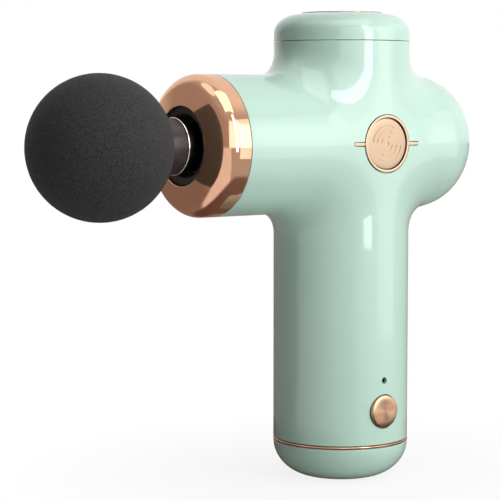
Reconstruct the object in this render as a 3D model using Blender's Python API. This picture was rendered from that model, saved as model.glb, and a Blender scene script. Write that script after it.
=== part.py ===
"""Compact percussion massage gun with a ball head, built as separate named pieces.

Frame: metres, +Z up. The handle's axis is the Z axis, and the origin is on it at the underside of
the bottom cap. The barrel runs along X at BARREL_Z, with the massage head towards -X. The power
button and the badge are on the -Y side, and the charging port is on the +X side.
"""

import math

import bmesh
import bpy

MM = 0.001

# Overall sizes, in millimetres
HANDLE_RADIUS = 22.0
BARREL_RADIUS = 22.1
WALL = 2.2
FILLET_RADIUS = 10.2
FRONT_REACH = 26.5
SHARPEST_LEAN = 0.97
BARREL_Z = 108.9
BODY_BOTTOM_Z = 12.9
BODY_TOP_Z = 141.6
NOSE_X = -53.0
DOME_START_X = 28.4
DOME_LENGTH = 18.6
DOME_POWER = 2.2
SEAM = 0.3
RUNNING = 0.15

# Caps and trim
BOTTOM_FLAT_RADIUS = 9.0
TRIM_HEIGHT = 0.7
TRIM_RADIUS = HANDLE_RADIUS + 0.1
SPIGOT_WALL = 2.0
SPIGOT_CLEARANCE = 0.4
BOTTOM_SPIGOT_TOP_Z = 15.8
TOP_SPIGOT_LENGTH = 5.0
TOP_CORNER_RADIUS = 4.3
TOP_HEIGHT = 9.3
TOP_PLATE_RADIUS = 13.0
TOP_PLATE_THICKNESS = 1.5
TOP_PLATE_PROUD = 0.35

# Nose, collar and guide
NOSE_STRAIGHT = 4.4
NOSE_CORNER_RADIUS = 5.2
NOSE_LENGTH = 11.0
NOSE_HOLE_RADIUS = 12.3
NOSE_SPIGOT_LENGTH = 5.0
NOSE_WALL = 3.7
COLLAR_RADIUS = 9.5
COLLAR_RECESS = 1.2
COLLAR_LENGTH = 4.9
COLLAR_FLANGE = 1.5
SLEEVE_WALL = 2.0
BUSH_WALL = 1.1
FLANGE_THICKNESS = 2.2
SLEEVE_REAR_X = -40.0
SLEEVE_SCREWS = 3

# Massage head
BALL_RADIUS = 22.15
BALL_SEAT_RADIUS = 8.86
BALL_BORE_RADIUS = 7.0
BALL_BORE_DEPTH = 18.0
NECK_RADIUS = 8.7
NECK_FRONT_X = -72.5
NECK_REAR_X = -67.2
NECK_TRIM_THICKNESS = 0.7
NECK_TRIM_RADIUS = 8.87
POST_RADIUS = 4.9
POST_LENGTH = 15.0
SEAL_WIRE_RADIUS = 0.55

# Crank, rod and piston
CRANK_RADIUS = 3.5
ROD_LENGTH = 26.0
ROD_HEIGHT = 5.6
ROD_EYE_HEIGHT = 2.2
ROD_BIG_RADIUS = 6.8
ROD_SMALL_RADIUS = 4.4
CRANK_PIN_RADIUS = 2.0
WRIST_PIN_RADIUS = 2.0
OPEN_PIVOT_GAP = 0.4
PISTON_RADIUS = 7.6
TONGUE_TOP_DROP = 2.5
WHEEL_RADIUS = 9.5
WHEEL_HEIGHT = 5.2
SHAFT_RADIUS = 1.5

# Motor
MOUNT_THICKNESS = 2.2
MOUNT_SCREW_INSET = 2.6
MOUNT_CLEARANCE = 0.6
PAD_HEIGHT = 4.2
PAD_HALF_WIDTH = 4.2
DAMPER_THICKNESS = 1.0
BEARING_RADIUS = 3.9
BEARING_HEIGHT = 3.0
STATOR_RADIUS = 12.4
STATOR_HEIGHT = 11.0
STATOR_SLOTS = 9
BELL_RADIUS = 14.6
BELL_WALL = 0.8
MAGNET_THICKNESS = 0.9

# Battery, boards and port
CELL_RADIUS = 9.2
CELL_LENGTH = 65.0
CELL_BOTTOM_Z = 28.0
CELL_GAP = 0.4
CRADLE_PLATE = 2.6
CRADLE_CLEARANCE = 0.6
BOSS_RADIUS = 3.0
BOSS_HEIGHT = 7.5
BOSS_INSET = 2.75
BOSS_X = 8.8
BOARD_THICKNESS = 1.6
SWITCH_HEIGHT = 3.0
SWITCH_GAP = 0.6
BUTTON_FLANGE_DEPTH = 0.7
BUTTON_Z = 23.5
BUTTON_RADIUS = 5.65
BUTTON_PROUD = 0.7
BUTTON_TRAVEL = 0.4
LED_Z = 33.5
LED_RADIUS = 0.9
PORT_WIDTH = 8.94
PORT_HEIGHT = 3.26
PORT_LENGTH = 7.4
PORT_CLEARANCE = 0.5
PORT_RECESS = 1.0
PORT_ON_BOARD = 3.0
PORT_SHELL = 0.35
CHARGE_BOARD_Z = 16.4
CHARGE_POST_PLACE = 5.0

# Screws: shank radii, how far a head overlaps, and the clearances of tapped and plain holes
MAIN_SCREW_RADIUS = 1.0
SLEEVE_SCREW_SHANK = 0.9
BOARD_SCREW_SHANK = 0.6
CHARGE_SCREW_SHANK = 0.8
SCREW_HEAD_LAP = 0.8
TAPPED_CLEARANCE = 0.3
PLAIN_CLEARANCE = 0.4

# Badge
BADGE_Z = 109.1
BADGE_RADIUS = 9.2
BADGE_RIM = 0.9
BADGE_PROUD = 0.8
BADGE_BAR_REACH = 13.35
BADGE_BAR_HEIGHT = 1.4
BADGE_SEAT_DEPTH = 1.1

# Facets round a turn
LARGE = 28
MEDIUM = 24
SMALL = 16
TINY = 12
HALF_STEPS = LARGE // 2
SLIVER = 0.02

# Colours are linear
MINT = (0.60, 0.82, 0.71, 1.0)
ROSE_GOLD = (0.78, 0.46, 0.30, 1.0)
FOAM_BLACK = (0.03, 0.03, 0.03, 1.0)
SOFT_BLACK = (0.02, 0.02, 0.022, 1.0)
STEEL = (0.60, 0.60, 0.62, 1.0)
CHROME = (0.85, 0.85, 0.86, 1.0)
BRONZE = (0.45, 0.28, 0.12, 1.0)
COPPER = (0.72, 0.35, 0.18, 1.0)
GREY_NYLON = (0.12, 0.12, 0.13, 1.0)
CELL_BLUE = (0.05, 0.16, 0.35, 1.0)
BOARD_GREEN = (0.02, 0.16, 0.07, 1.0)

AXES = {
    "X": lambda radius, angle, along: (along, radius * math.cos(angle), radius * math.sin(angle)),
    "Y": lambda radius, angle, along: (radius * math.sin(angle), along, radius * math.cos(angle)),
    "Z": lambda radius, angle, along: (radius * math.cos(angle), radius * math.sin(angle), along),
}


# ---------------------------------------------------------------- scene and mesh helpers

def clear_scene():
    """Removes every object, so that the script can run again in an open file."""
    for obj in list(bpy.data.objects):
        bpy.data.objects.remove(obj, do_unlink=True)


def make_material(name, colour, roughness, metallic=0.0):
    """A Principled material, made once for each name."""
    found = bpy.data.materials.get(name)
    if found:
        return found
    material = bpy.data.materials.new(name)
    material.use_nodes = True
    shader = material.node_tree.nodes["Principled BSDF"]
    shader.inputs["Base Color"].default_value = colour
    shader.inputs["Roughness"].default_value = roughness
    shader.inputs["Metallic"].default_value = metallic
    material.diffuse_color = colour
    return material


def add_object(name, bm, material, origin=(0.0, 0.0, 0.0)):
    """Turns a bmesh in millimetres into an object in metres whose origin is at the given point."""
    bmesh.ops.remove_doubles(bm, verts=bm.verts, dist=1e-4)
    bmesh.ops.recalc_face_normals(bm, faces=bm.faces)
    shift = [-value for value in origin]
    bmesh.ops.translate(bm, verts=bm.verts, vec=shift)
    bmesh.ops.scale(bm, verts=bm.verts, vec=(MM, MM, MM))
    mesh = bpy.data.meshes.new(name)
    bm.to_mesh(mesh)
    bm.free()
    mesh.shade_smooth()
    mesh.set_sharp_from_angle(angle=math.radians(30.0))
    obj = bpy.data.objects.new(name, mesh)
    obj.location = [value * MM for value in origin]
    if material:
        mesh.materials.append(material)
    bpy.context.scene.collection.objects.link(obj)
    return obj


def turned(bm, profile, axis="Z", centre=(0.0, 0.0), segments=MEDIUM, closed=False):
    """Turns a profile of (radius, along) points about an axis through centre, into bm.

    A point at radius 0 is a pole. A closed profile joins its last point to its first.
    """
    place = AXES[axis]
    free = {"X": (1, 2), "Y": (0, 2), "Z": (0, 1)}[axis]
    rings = []
    for radius, along in profile:
        count = 1 if radius == 0 else segments
        ring = []
        for step in range(count):
            point = list(place(radius, 2 * math.pi * (step + 0.5) / segments, along))
            point[free[0]] += centre[0]
            point[free[1]] += centre[1]
            ring.append(bm.verts.new(point))
        rings.append(ring)
    pairs = list(zip(rings, rings[1:]))
    if closed:
        pairs.append((rings[-1], rings[0]))
    for first, second in pairs:
        for step in range(segments):
            corners = []
            for ring, index in ((first, step), (first, step + 1), (second, step + 1), (second, step)):
                corner = ring[index % len(ring)]
                if corner not in corners:
                    corners.append(corner)
            if len(corners) > 2:
                bm.faces.new(corners)


def lathe(name, profile, material, axis="Z", centre=(0.0, 0.0), segments=MEDIUM,
          origin=(0.0, 0.0, 0.0)):
    """An object turned from one profile; a profile that stays off the axis is a closed ring."""
    bm = bmesh.new()
    on_axis = any(radius == 0 for radius, along in profile)
    turned(bm, profile, axis, centre, segments, closed=not on_axis)
    return add_object(name, bm, material, origin)


def ring_profile(inner, outer, low, high):
    """The square section of a plain ring or tube."""
    return [(inner, high), (outer, high), (outer, low), (inner, low)]


def rod_profile(radius, low, high, chamfer=0.3):
    """The section of a solid rod with chamfered ends."""
    return [
        (0.0, high),
        (radius - chamfer, high),
        (radius, high - chamfer),
        (radius, low + chamfer),
        (radius - chamfer, low),
        (0.0, low),
    ]


def arc(centre, radii, start, end, steps):
    """Points (radius, along) on an ellipse arc between two angles in degrees."""
    points = []
    for step in range(steps + 1):
        angle = math.radians(start + (end - start) * step / steps)
        points.append((centre[0] + radii[0] * math.cos(angle), centre[1] + radii[1] * math.sin(angle)))
    return points


def box_mesh(bm, low, high):
    """Adds a box between two corners to bm."""
    centre = [(a + b) / 2 for a, b in zip(low, high)]
    size = [b - a for a, b in zip(low, high)]
    made = bmesh.ops.create_cube(bm, size=1.0)
    bmesh.ops.scale(bm, verts=made["verts"], vec=size)
    bmesh.ops.translate(bm, verts=made["verts"], vec=centre)


def box(name, low, high, material, origin=(0.0, 0.0, 0.0)):
    """A box object between two corners."""
    bm = bmesh.new()
    box_mesh(bm, low, high)
    return add_object(name, bm, material, origin)


def plate(bm, outline, low, high, axis="Z"):
    """Adds the prism of an outline to bm: (x, y) points along Z, or (x, z) points along Y."""
    if axis == "Y":
        bottom = [bm.verts.new((x, low, z)) for x, z in outline]
        top = [bm.verts.new((x, high, z)) for x, z in outline]
    else:
        bottom = [bm.verts.new((x, y, low)) for x, y in outline]
        top = [bm.verts.new((x, y, high)) for x, y in outline]
    bm.faces.new(bottom[::-1])
    bm.faces.new(top)
    for index in range(len(outline)):
        after = (index + 1) % len(outline)
        bm.faces.new((bottom[index], bottom[after], top[after], top[index]))


def helper(name, bm):
    """A cutter or a joined shape that is left out of renders."""
    obj = add_object(name, bm, None)
    obj.hide_render = True
    obj.display_type = "WIRE"
    return obj


def combine(target, other, operation):
    """Adds an exact Boolean of a helper to the target."""
    modifier = target.modifiers.new(operation.title() + " " + other.name, "BOOLEAN")
    modifier.operation = operation
    modifier.solver = "EXACT"
    modifier.object = other


def round_mesh(bm, radius, axis, centre, low, high, segments=TINY):
    """Adds a plain round bar to bm, as a post or as the shape of a drilled hole."""
    turned(bm, [(0.0, high), (radius, high), (radius, low), (0.0, low)], axis, centre, segments)


def join_shapes(target, name, bm):
    """Joins every shape in bm to the target, with one Boolean."""
    combine(target, helper(name, bm), "UNION")


def cut_shapes(target, name, bm):
    """Cuts every shape in bm from the target, with one Boolean."""
    combine(target, helper(name, bm), "DIFFERENCE")


def drill(target, name, radius, axis, centres, low, high, segments=TINY):
    """Cuts equal round holes along an axis, one at each centre."""
    bm = bmesh.new()
    for centre in centres:
        round_mesh(bm, radius, axis, centre, low, high, segments)
    cut_shapes(target, name, bm)


def cut_box(target, name, low, high):
    """Cuts a box."""
    bm = bmesh.new()
    box_mesh(bm, low, high)
    cut_shapes(target, name, bm)


def circle_points(count, radius, first=0.0):
    """Points (a, b) evenly round a circle, from a first angle in degrees."""
    angles = [math.radians(first + 360.0 * index / count) for index in range(count)]
    return [(radius * math.cos(angle), radius * math.sin(angle)) for angle in angles]


def sleeve_screw_places():
    """Centres (y, z) of the screws that hold the guide sleeve to the nose ring."""
    return [(y, BARREL_Z + up) for y, up in circle_points(SLEEVE_SCREWS, SLEEVE_SCREW_RADIUS, 90.0)]


# ---------------------------------------------------------------- materials

def mint():
    return make_material("mint_gloss", MINT, 0.12)


def rose_gold():
    return make_material("rose_gold", ROSE_GOLD, 0.14, 1.0)


def black():
    return make_material("soft_black", SOFT_BLACK, 0.45)


def steel():
    return make_material("steel", STEEL, 0.3, 1.0)


def nylon():
    return make_material("grey_nylon", GREY_NYLON, 0.5)


def board_material():
    return make_material("board_green", BOARD_GREEN, 0.4)


# ---------------------------------------------------------------- housing surface

def rolled_ball(lean):
    """The radius of the ball that is rolled along the corner, which grows from the sides to the front.

    lean is 0 where handle and barrel cross at a right angle, and 1 where they run into each other.
    """
    side_reach = HANDLE_RADIUS + FILLET_RADIUS
    along = side_reach + (FRONT_REACH - side_reach) * lean
    return along / math.sqrt(1.0 - min(lean, SHARPEST_LEAN)) - HANDLE_RADIUS


def body_gap(point, inset):
    """How far a point is outside the body, which is the crossed handle and barrel with a rolled fillet.

    inset moves both surfaces inwards, for the inner face of the wall. The fillet is that of a ball
    rolled along the corner, so it fades where the two surfaces run into each other.
    """
    x, y, z = point
    up = z - BARREL_Z
    handle_reach = max(math.hypot(x, y), 1e-6)
    barrel_reach = max(math.hypot(y, up), 1e-6)
    handle_radius = HANDLE_RADIUS - inset
    barrel_radius = BARREL_RADIUS - inset
    handle_gap = handle_reach - handle_radius
    barrel_gap = barrel_reach - barrel_radius
    if x > DOME_START_X:
        along = (x - DOME_START_X) / (DOME_LENGTH - inset)
        across = barrel_reach / barrel_radius
        size = (along**DOME_POWER + across**DOME_POWER) ** (1.0 / DOME_POWER)
        barrel_gap = (size - 1.0) * barrel_radius
    lean = y * y / (handle_reach * barrel_reach)
    spread = 1.0 - lean * lean
    if spread < 1e-4:
        return min(handle_gap, barrel_gap)
    ball = rolled_ball(lean) + inset
    to_handle = ((ball - handle_gap) - lean * (ball - barrel_gap)) / spread
    to_barrel = ((ball - barrel_gap) - lean * (ball - handle_gap)) / spread
    if to_handle <= 0 or to_barrel <= 0:
        return min(handle_gap, barrel_gap)
    reach = to_handle**2 + to_barrel**2 + 2 * lean * to_handle * to_barrel
    return ball - math.sqrt(reach)


def surface_point(start, direction, inset):
    """The point on the body's surface met from start along direction, found by halving."""
    near = 0.0
    far = 2 * (HANDLE_RADIUS + BARREL_RADIUS)
    for _ in range(40):
        middle = (near + far) / 2
        point = [a + middle * b for a, b in zip(start, direction)]
        if body_gap(point, inset) < 0:
            near = middle
        else:
            far = middle
    return tuple(a + near * b for a, b in zip(start, direction))


def corner_reach(radius, inset):
    """How far from the axis the middle of a corner's fillet is."""
    return radius + FILLET_RADIUS - (FILLET_RADIUS + inset) / math.sqrt(2)


def stations(start, end, count):
    """Evenly spaced places from just after start to end."""
    return [start + (end - start) * (index + 1) / count for index in range(count)]


def upright_half_ring(z, side, inset):
    """Half a level section of the handle or of the top stub, from -X to +X."""
    points = []
    for step in range(HALF_STEPS + 1):
        angle = math.pi * (step / HALF_STEPS - 0.5)
        direction = (math.sin(angle), side * math.cos(angle), 0.0)
        points.append(surface_point((0.0, 0.0, z), direction, inset))
    return points


def barrel_half_ring(x, side, inset):
    """Half a section across the barrel, from its underside to its top."""
    points = []
    for step in range(HALF_STEPS + 1):
        angle = math.pi * (step / HALF_STEPS - 0.5)
        direction = (0.0, side * math.cos(angle), math.sin(angle))
        points.append(surface_point((x, 0.0, BARREL_Z), direction, inset))
    return points


def crossing_grid(side, inset):
    """The patch where handle and barrel cross, as rows of points going up."""
    reach_x = corner_reach(HANDLE_RADIUS, inset)
    reach_z = corner_reach(BARREL_RADIUS, inset)
    rows = []
    for row in range(HALF_STEPS + 1):
        up = reach_z * math.sin(math.pi * (row / HALF_STEPS - 0.5))
        line = []
        for column in range(HALF_STEPS + 1):
            x = reach_x * math.sin(math.pi * (column / HALF_STEPS - 0.5))
            if row in (0, HALF_STEPS) and column in (0, HALF_STEPS):
                line.append((x, 0.0, BARREL_Z + up))
            else:
                line.append(surface_point((x, 0.0, BARREL_Z + up), (0.0, side, 0.0), inset))
        rows.append(line)
    return rows


def add_grid(bm, rows):
    """Adds the quads between rows of points."""
    made = [[bm.verts.new(point) for point in row] for row in rows]
    for first, second in zip(made, made[1:]):
        for index in range(len(first) - 1):
            bm.faces.new((first[index], first[index + 1], second[index + 1], second[index]))


def add_skin(bm, inset):
    """Adds the outer or the inner surface of the housing, open at the top, the bottom and the nose."""
    reach_x = corner_reach(HANDLE_RADIUS, inset)
    reach_z = corner_reach(BARREL_RADIUS, inset)
    fillet_x = HANDLE_RADIUS + FILLET_RADIUS
    fillet_z = BARREL_RADIUS + FILLET_RADIUS
    tip_x = DOME_START_X + DOME_LENGTH - inset
    for side in (-1.0, 1.0):
        grid = crossing_grid(side, inset)
        add_grid(bm, grid)
        up_levels = stations(BARREL_Z + reach_z, BARREL_Z + fillet_z, 3) + [BODY_TOP_Z]
        add_grid(bm, [grid[-1]] + [upright_half_ring(z, side, inset) for z in up_levels])
        down_levels = stations(BARREL_Z - reach_z, BARREL_Z - fillet_z, 3)
        down_levels += stations(BARREL_Z - fillet_z, BODY_BOTTOM_Z, 3)
        add_grid(bm, [grid[0]] + [upright_half_ring(z, side, inset) for z in down_levels])
        nose_places = stations(-reach_x, -fillet_x, 3) + [NOSE_X]
        left = [row[0] for row in grid]
        add_grid(bm, [left] + [barrel_half_ring(x, side, inset) for x in nose_places])
        dome_places = stations(reach_x, fillet_x, 3)
        for step in range(1, 7):
            angle = math.pi / 2 * step / 7
            dome_places.append(fillet_x + (tip_x - fillet_x) * math.sin(angle) ** (2 / DOME_POWER))
        right = [row[-1] for row in grid]
        tip = [(tip_x, 0.0, BARREL_Z)] * (HALF_STEPS + 1)
        add_grid(bm, [right] + [barrel_half_ring(x, side, inset) for x in dome_places] + [tip])


def add_rims(bm):
    """Joins the two surfaces of the housing at its three open ends."""
    for side in (-1.0, 1.0):
        for z in (BODY_TOP_Z, BODY_BOTTOM_Z):
            add_grid(bm, [upright_half_ring(z, side, 0.0), upright_half_ring(z, side, WALL)])
        add_grid(bm, [barrel_half_ring(NOSE_X, side, 0.0), barrel_half_ring(NOSE_X, side, WALL)])


# ---------------------------------------------------------------- sizes worked out from those above

INNER_RADIUS = HANDLE_RADIUS - WALL
SPIGOT_RADIUS = INNER_RADIUS - SPIGOT_CLEARANCE
ROD_LOW = BARREL_Z - ROD_HEIGHT / 2
ROD_HIGH = BARREL_Z + ROD_HEIGHT / 2
EYE_LOW = ROD_HIGH - ROD_EYE_HEIGHT
WHEEL_LOW = ROD_HIGH + 2 * SEAM
WHEEL_HIGH = WHEEL_LOW + WHEEL_HEIGHT
PAD_TOP = WHEEL_HIGH - 0.4
DAMPER_LOW = PAD_TOP + SEAM
MOUNT_LOW = DAMPER_LOW + DAMPER_THICKNESS + SEAM
MOUNT_HIGH = MOUNT_LOW + MOUNT_THICKNESS
STATOR_LOW = MOUNT_HIGH + 1.7
STATOR_HIGH = STATOR_LOW + STATOR_HEIGHT
BELL_LOW = MOUNT_HIGH + 1.2
BELL_HIGH = STATOR_HIGH + 4.6
CRANK_X = -CRANK_RADIUS
WRIST_X = CRANK_X - ROD_LENGTH
STROKE = 2 * CRANK_RADIUS
CELL_PITCH = 2 * CELL_RADIUS + CELL_GAP
CELL_TOP = CELL_BOTTOM_Z + CELL_LENGTH
CRADLE_LOW = CELL_BOTTOM_Z - SEAM - CRADLE_PLATE
CRADLE_HIGH = CELL_TOP + 1.1 + CRADLE_PLATE
BOSS_LOW = CRADLE_LOW + CRADLE_PLATE + SEAM
BOSS_Y = math.sqrt((INNER_RADIUS - BOSS_INSET) ** 2 - BOSS_X**2)
BOSS_POSITIONS = ((-BOSS_X, BOSS_Y), (BOSS_X, BOSS_Y))
MOUNT_SCREW_Y = INNER_RADIUS - MOUNT_SCREW_INSET
MOUNT_SCREWS = ((0.0, -MOUNT_SCREW_Y), (0.0, MOUNT_SCREW_Y))
PORT_LOW = CHARGE_BOARD_Z + BOARD_THICKNESS + SEAM
PORT_Z = PORT_LOW + PORT_HEIGHT / 2
PORT_BACK_X = HANDLE_RADIUS - PORT_RECESS - PORT_LENGTH
FRONT_Y = -max(HANDLE_RADIUS, BARREL_RADIUS)
BADGE_SEAT_Y = FRONT_Y + BADGE_SEAT_DEPTH
BUTTON_HOLE_Y = -INNER_RADIUS + 4.5
BUTTON_FLANGE_Y = -INNER_RADIUS + 1.6
BUTTON_BACK_Y = BUTTON_FLANGE_Y + BUTTON_FLANGE_DEPTH
SWITCH_TIP_Y = BUTTON_BACK_Y + BUTTON_TRAVEL + SWITCH_GAP
BOARD_FRONT_Y = SWITCH_TIP_Y + SWITCH_HEIGHT + SEAM
BALL_X = NECK_FRONT_X - SEAM - math.sqrt(BALL_RADIUS**2 - BALL_SEAT_RADIUS**2)
SLEEVE_INNER = PISTON_RADIUS + RUNNING + BUSH_WALL + SEAM
SLEEVE_OUTER = SLEEVE_INNER + SLEEVE_WALL
NOSE_INNER = BARREL_RADIUS - WALL - SPIGOT_CLEARANCE - NOSE_WALL
NOSE_BACK_X = NOSE_X + NOSE_SPIGOT_LENGTH
NOSE_FRONT_X = NOSE_X - NOSE_LENGTH
COLLAR_FRONT_X = NOSE_FRONT_X + COLLAR_RECESS
NOSE_STEP_X = COLLAR_FRONT_X + COLLAR_LENGTH - COLLAR_FLANGE
SLEEVE_SCREW_RADIUS = NOSE_INNER + NOSE_WALL / 2


# ---------------------------------------------------------------- casing pieces

def add_housing_bosses(bm):
    """The two pads that carry the motor and the two bosses that carry the battery cradle."""
    wall_middle = HANDLE_RADIUS - WALL / 2
    for side in (-1, 1):
        near, far = sorted((side * (MOUNT_SCREW_Y - 2.2), side * wall_middle))
        box_mesh(bm, (-PAD_HALF_WIDTH, near, PAD_TOP - PAD_HEIGHT), (PAD_HALF_WIDTH, far, PAD_TOP))
    for place in BOSS_POSITIONS:
        round_mesh(bm, BOSS_RADIUS, "Z", place, BOSS_LOW, BOSS_LOW + BOSS_HEIGHT)


def add_housing_holes(bm):
    """Every hole and seat in the housing's wall, its pads and its bosses."""
    outside = FRONT_Y - 2.0
    tapped = MAIN_SCREW_RADIUS + TAPPED_CLEARANCE
    for place in MOUNT_SCREWS:
        round_mesh(bm, tapped, "Z", place, PAD_TOP - PAD_HEIGHT - 1, PAD_TOP + 1)
    for place in BOSS_POSITIONS:
        round_mesh(bm, tapped, "Z", place, BOSS_LOW - 1, BOSS_LOW + BOSS_HEIGHT + 1)
    plate(bm, badge_outline(SEAM), outside, BADGE_SEAT_Y, "Y")
    round_mesh(bm, BUTTON_RADIUS + SEAM, "Y", (0.0, BUTTON_Z), outside, BUTTON_HOLE_Y, MEDIUM)
    round_mesh(bm, LED_RADIUS + SEAM, "Y", (0.0, LED_Z), outside, BUTTON_HOLE_Y)
    half_width = PORT_WIDTH / 2 + PORT_CLEARANCE
    half_height = PORT_HEIGHT / 2 + PORT_CLEARANCE
    low = (PORT_BACK_X + PORT_ON_BOARD, -half_width, PORT_Z - half_height)
    box_mesh(bm, low, (HANDLE_RADIUS + 2.0, half_width, PORT_Z + half_height))


def badge_outline(clearance):
    """The badge seen from the front, as (x, z) points: a circle with a short bar on each side."""
    radius = BADGE_RADIUS + clearance
    half_height = BADGE_BAR_HEIGHT / 2 + clearance
    reach = BADGE_BAR_REACH + clearance
    lift = math.degrees(math.asin(half_height / radius))
    steps = LARGE // 2
    points = arc((0.0, BADGE_Z), (radius, radius), lift, 180 - lift, steps)
    points += [(-reach, BADGE_Z + half_height), (-reach, BADGE_Z - half_height)]
    points += arc((0.0, BADGE_Z), (radius, radius), 180 + lift, 360 - lift, steps)
    points += [(reach, BADGE_Z - half_height), (reach, BADGE_Z + half_height)]
    return points


def make_housing():
    """The one-piece cross-shaped shell, with its bosses, its pads and its holes."""
    bm = bmesh.new()
    add_skin(bm, 0.0)
    add_skin(bm, WALL)
    add_rims(bm)
    bmesh.ops.triangulate(bm, faces=bm.faces)
    housing = add_object("main_housing", bm, mint())
    for name, add_shapes, finish in (
        ("housing_bosses", add_housing_bosses, join_shapes),
        ("housing_holes", add_housing_holes, cut_shapes),
    ):
        bm = bmesh.new()
        add_shapes(bm)
        finish(housing, name, bm)
    weld = housing.modifiers.new("Merge slivers", "WELD")
    weld.merge_threshold = SLIVER * MM
    return housing


def make_bottom_cap():
    """The rounded base cap: a flat underside, an elliptical wall and a spigot into the housing."""
    shoulder = BODY_BOTTOM_Z - TRIM_HEIGHT - 2 * SEAM
    corner = HANDLE_RADIUS - BOTTOM_FLAT_RADIUS
    spigot = SPIGOT_RADIUS
    profile = [(0.0, WALL)]
    profile += [(BOTTOM_FLAT_RADIUS, WALL)]
    profile += arc((BOTTOM_FLAT_RADIUS, shoulder), (corner - WALL, shoulder - WALL), -70, -20, 3)
    profile += [(spigot - SPIGOT_WALL, shoulder - 1.5)]
    profile += [(spigot - SPIGOT_WALL, BOTTOM_SPIGOT_TOP_Z)]
    profile += [(spigot - 0.4, BOTTOM_SPIGOT_TOP_Z)]
    profile += [(spigot, BOTTOM_SPIGOT_TOP_Z - 0.5)]
    profile += [(spigot, shoulder)]
    profile += arc((BOTTOM_FLAT_RADIUS, shoulder), (corner, shoulder), 0, -90, 8)
    profile += [(0.0, 0.0)]
    return lathe("bottom_cap", profile, mint(), segments=LARGE)


def make_bottom_trim():
    """The thin metal ring between the housing and the bottom cap."""
    low = BODY_BOTTOM_Z - TRIM_HEIGHT - SEAM
    profile = ring_profile(INNER_RADIUS, TRIM_RADIUS, low, low + TRIM_HEIGHT)
    return lathe("bottom_trim_ring", profile, rose_gold(), segments=LARGE)


def make_top_cap():
    """The top cap, with a rounded shoulder, a seat for the top plate and a spigot below."""
    bottom = BODY_TOP_Z + SEAM
    top = BODY_TOP_Z + TOP_HEIGHT
    corner = TOP_CORNER_RADIUS
    arc_centre = (HANDLE_RADIUS - corner, top - corner - 0.45)
    seat = TOP_PLATE_RADIUS + SEAM
    seat_floor = top + TOP_PLATE_PROUD - TOP_PLATE_THICKNESS - SEAM
    spigot = SPIGOT_RADIUS
    inner = spigot - SPIGOT_WALL
    profile = [(0.0, seat_floor), (seat, seat_floor), (seat, top)]
    profile += arc(arc_centre, (corner, corner), 90, 0, 5)
    profile += [(HANDLE_RADIUS, bottom), (spigot, bottom)]
    profile += [(spigot, bottom - TOP_SPIGOT_LENGTH + 0.5), (spigot - 0.4, bottom - TOP_SPIGOT_LENGTH)]
    profile += [(inner, bottom - TOP_SPIGOT_LENGTH), (inner, seat_floor - WALL - 2.0)]
    profile += [(inner - 2.0, seat_floor - WALL), (0.0, seat_floor - WALL)]
    return lathe("top_cap", profile, mint(), segments=LARGE)


def make_top_plate():
    """The thin metal disc let into the top cap."""
    high = BODY_TOP_Z + TOP_HEIGHT + TOP_PLATE_PROUD
    profile = rod_profile(TOP_PLATE_RADIUS, high - TOP_PLATE_THICKNESS, high, 0.15)
    return lathe("top_plate", profile, rose_gold(), segments=LARGE)


def make_nose_ring():
    """The polished ring on the barrel's front: a straight band, a rounded corner and a cone to the hole."""
    front = NOSE_FRONT_X
    back = NOSE_X - SEAM
    outer = BARREL_RADIUS
    corner = NOSE_CORNER_RADIUS
    centre = (outer - corner, NOSE_X - NOSE_STRAIGHT)
    spigot = outer - WALL - SPIGOT_CLEARANCE
    profile = [(spigot, NOSE_BACK_X), (spigot, back), (outer, back)]
    profile += arc(centre, (corner, corner), 0, -75, 6)
    profile += [(NOSE_HOLE_RADIUS + 0.3, front), (NOSE_HOLE_RADIUS, front + 0.3)]
    profile += [(NOSE_HOLE_RADIUS, NOSE_STEP_X - SEAM), (NOSE_INNER, NOSE_STEP_X - SEAM)]
    profile += [(NOSE_INNER, NOSE_BACK_X)]
    ring = lathe("nose_ring", profile, rose_gold(), axis="X", centre=(0.0, BARREL_Z), segments=LARGE)
    tapped = SLEEVE_SCREW_SHANK + TAPPED_CLEARANCE
    places = sleeve_screw_places()
    drill(ring, "nose_screw_holes", tapped, "X", places, NOSE_BACK_X - 5.5, NOSE_BACK_X + 1)
    return ring


def make_nose_collar():
    """The black rubber dust collar round the moving neck."""
    outer = NOSE_HOLE_RADIUS - SEAM
    flange = NOSE_INNER - SEAM
    step = NOSE_STEP_X
    profile = [(COLLAR_RADIUS, step + COLLAR_FLANGE), (flange, step + COLLAR_FLANGE), (flange, step)]
    profile += [(outer, step), (outer, COLLAR_FRONT_X + 0.4), (outer - 0.4, COLLAR_FRONT_X)]
    profile += [(COLLAR_RADIUS + 0.5, COLLAR_FRONT_X), (COLLAR_RADIUS, COLLAR_FRONT_X + 0.5)]
    return lathe("nose_collar", profile, black(), axis="X", centre=(0.0, BARREL_Z), segments=LARGE)


def make_badge():
    """The badge's rim with its two side bars, and the disc inside the rim."""
    front = FRONT_Y - BADGE_PROUD
    back = BADGE_SEAT_Y - SEAM
    inner = BADGE_RADIUS - BADGE_RIM
    profile = [(inner, back), (BADGE_RADIUS, back), (BADGE_RADIUS, front + 0.3)]
    profile += [(BADGE_RADIUS - 0.3, front), (inner + 0.2, front), (inner, front + 0.2)]
    rim = lathe("badge_rim", profile, rose_gold(), axis="Y", centre=(0.0, BADGE_Z), segments=LARGE)
    bars = bmesh.new()
    for side in (-1, 1):
        near, far = sorted((side * (inner + 0.3), side * BADGE_BAR_REACH))
        low = (near, front + 0.25, BADGE_Z - BADGE_BAR_HEIGHT / 2)
        box_mesh(bars, low, (far, back - 0.15, BADGE_Z + BADGE_BAR_HEIGHT / 2))
    join_shapes(rim, "badge_bars", bars)
    disc = inner - SEAM
    profile = [(0.0, back), (disc, back), (disc, front + 0.55), (disc - 0.3, front + 0.4)]
    profile += [(0.0, front + 0.4)]
    lathe("badge_disc", profile, rose_gold(), axis="Y", centre=(0.0, BADGE_Z), segments=LARGE)


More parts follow.
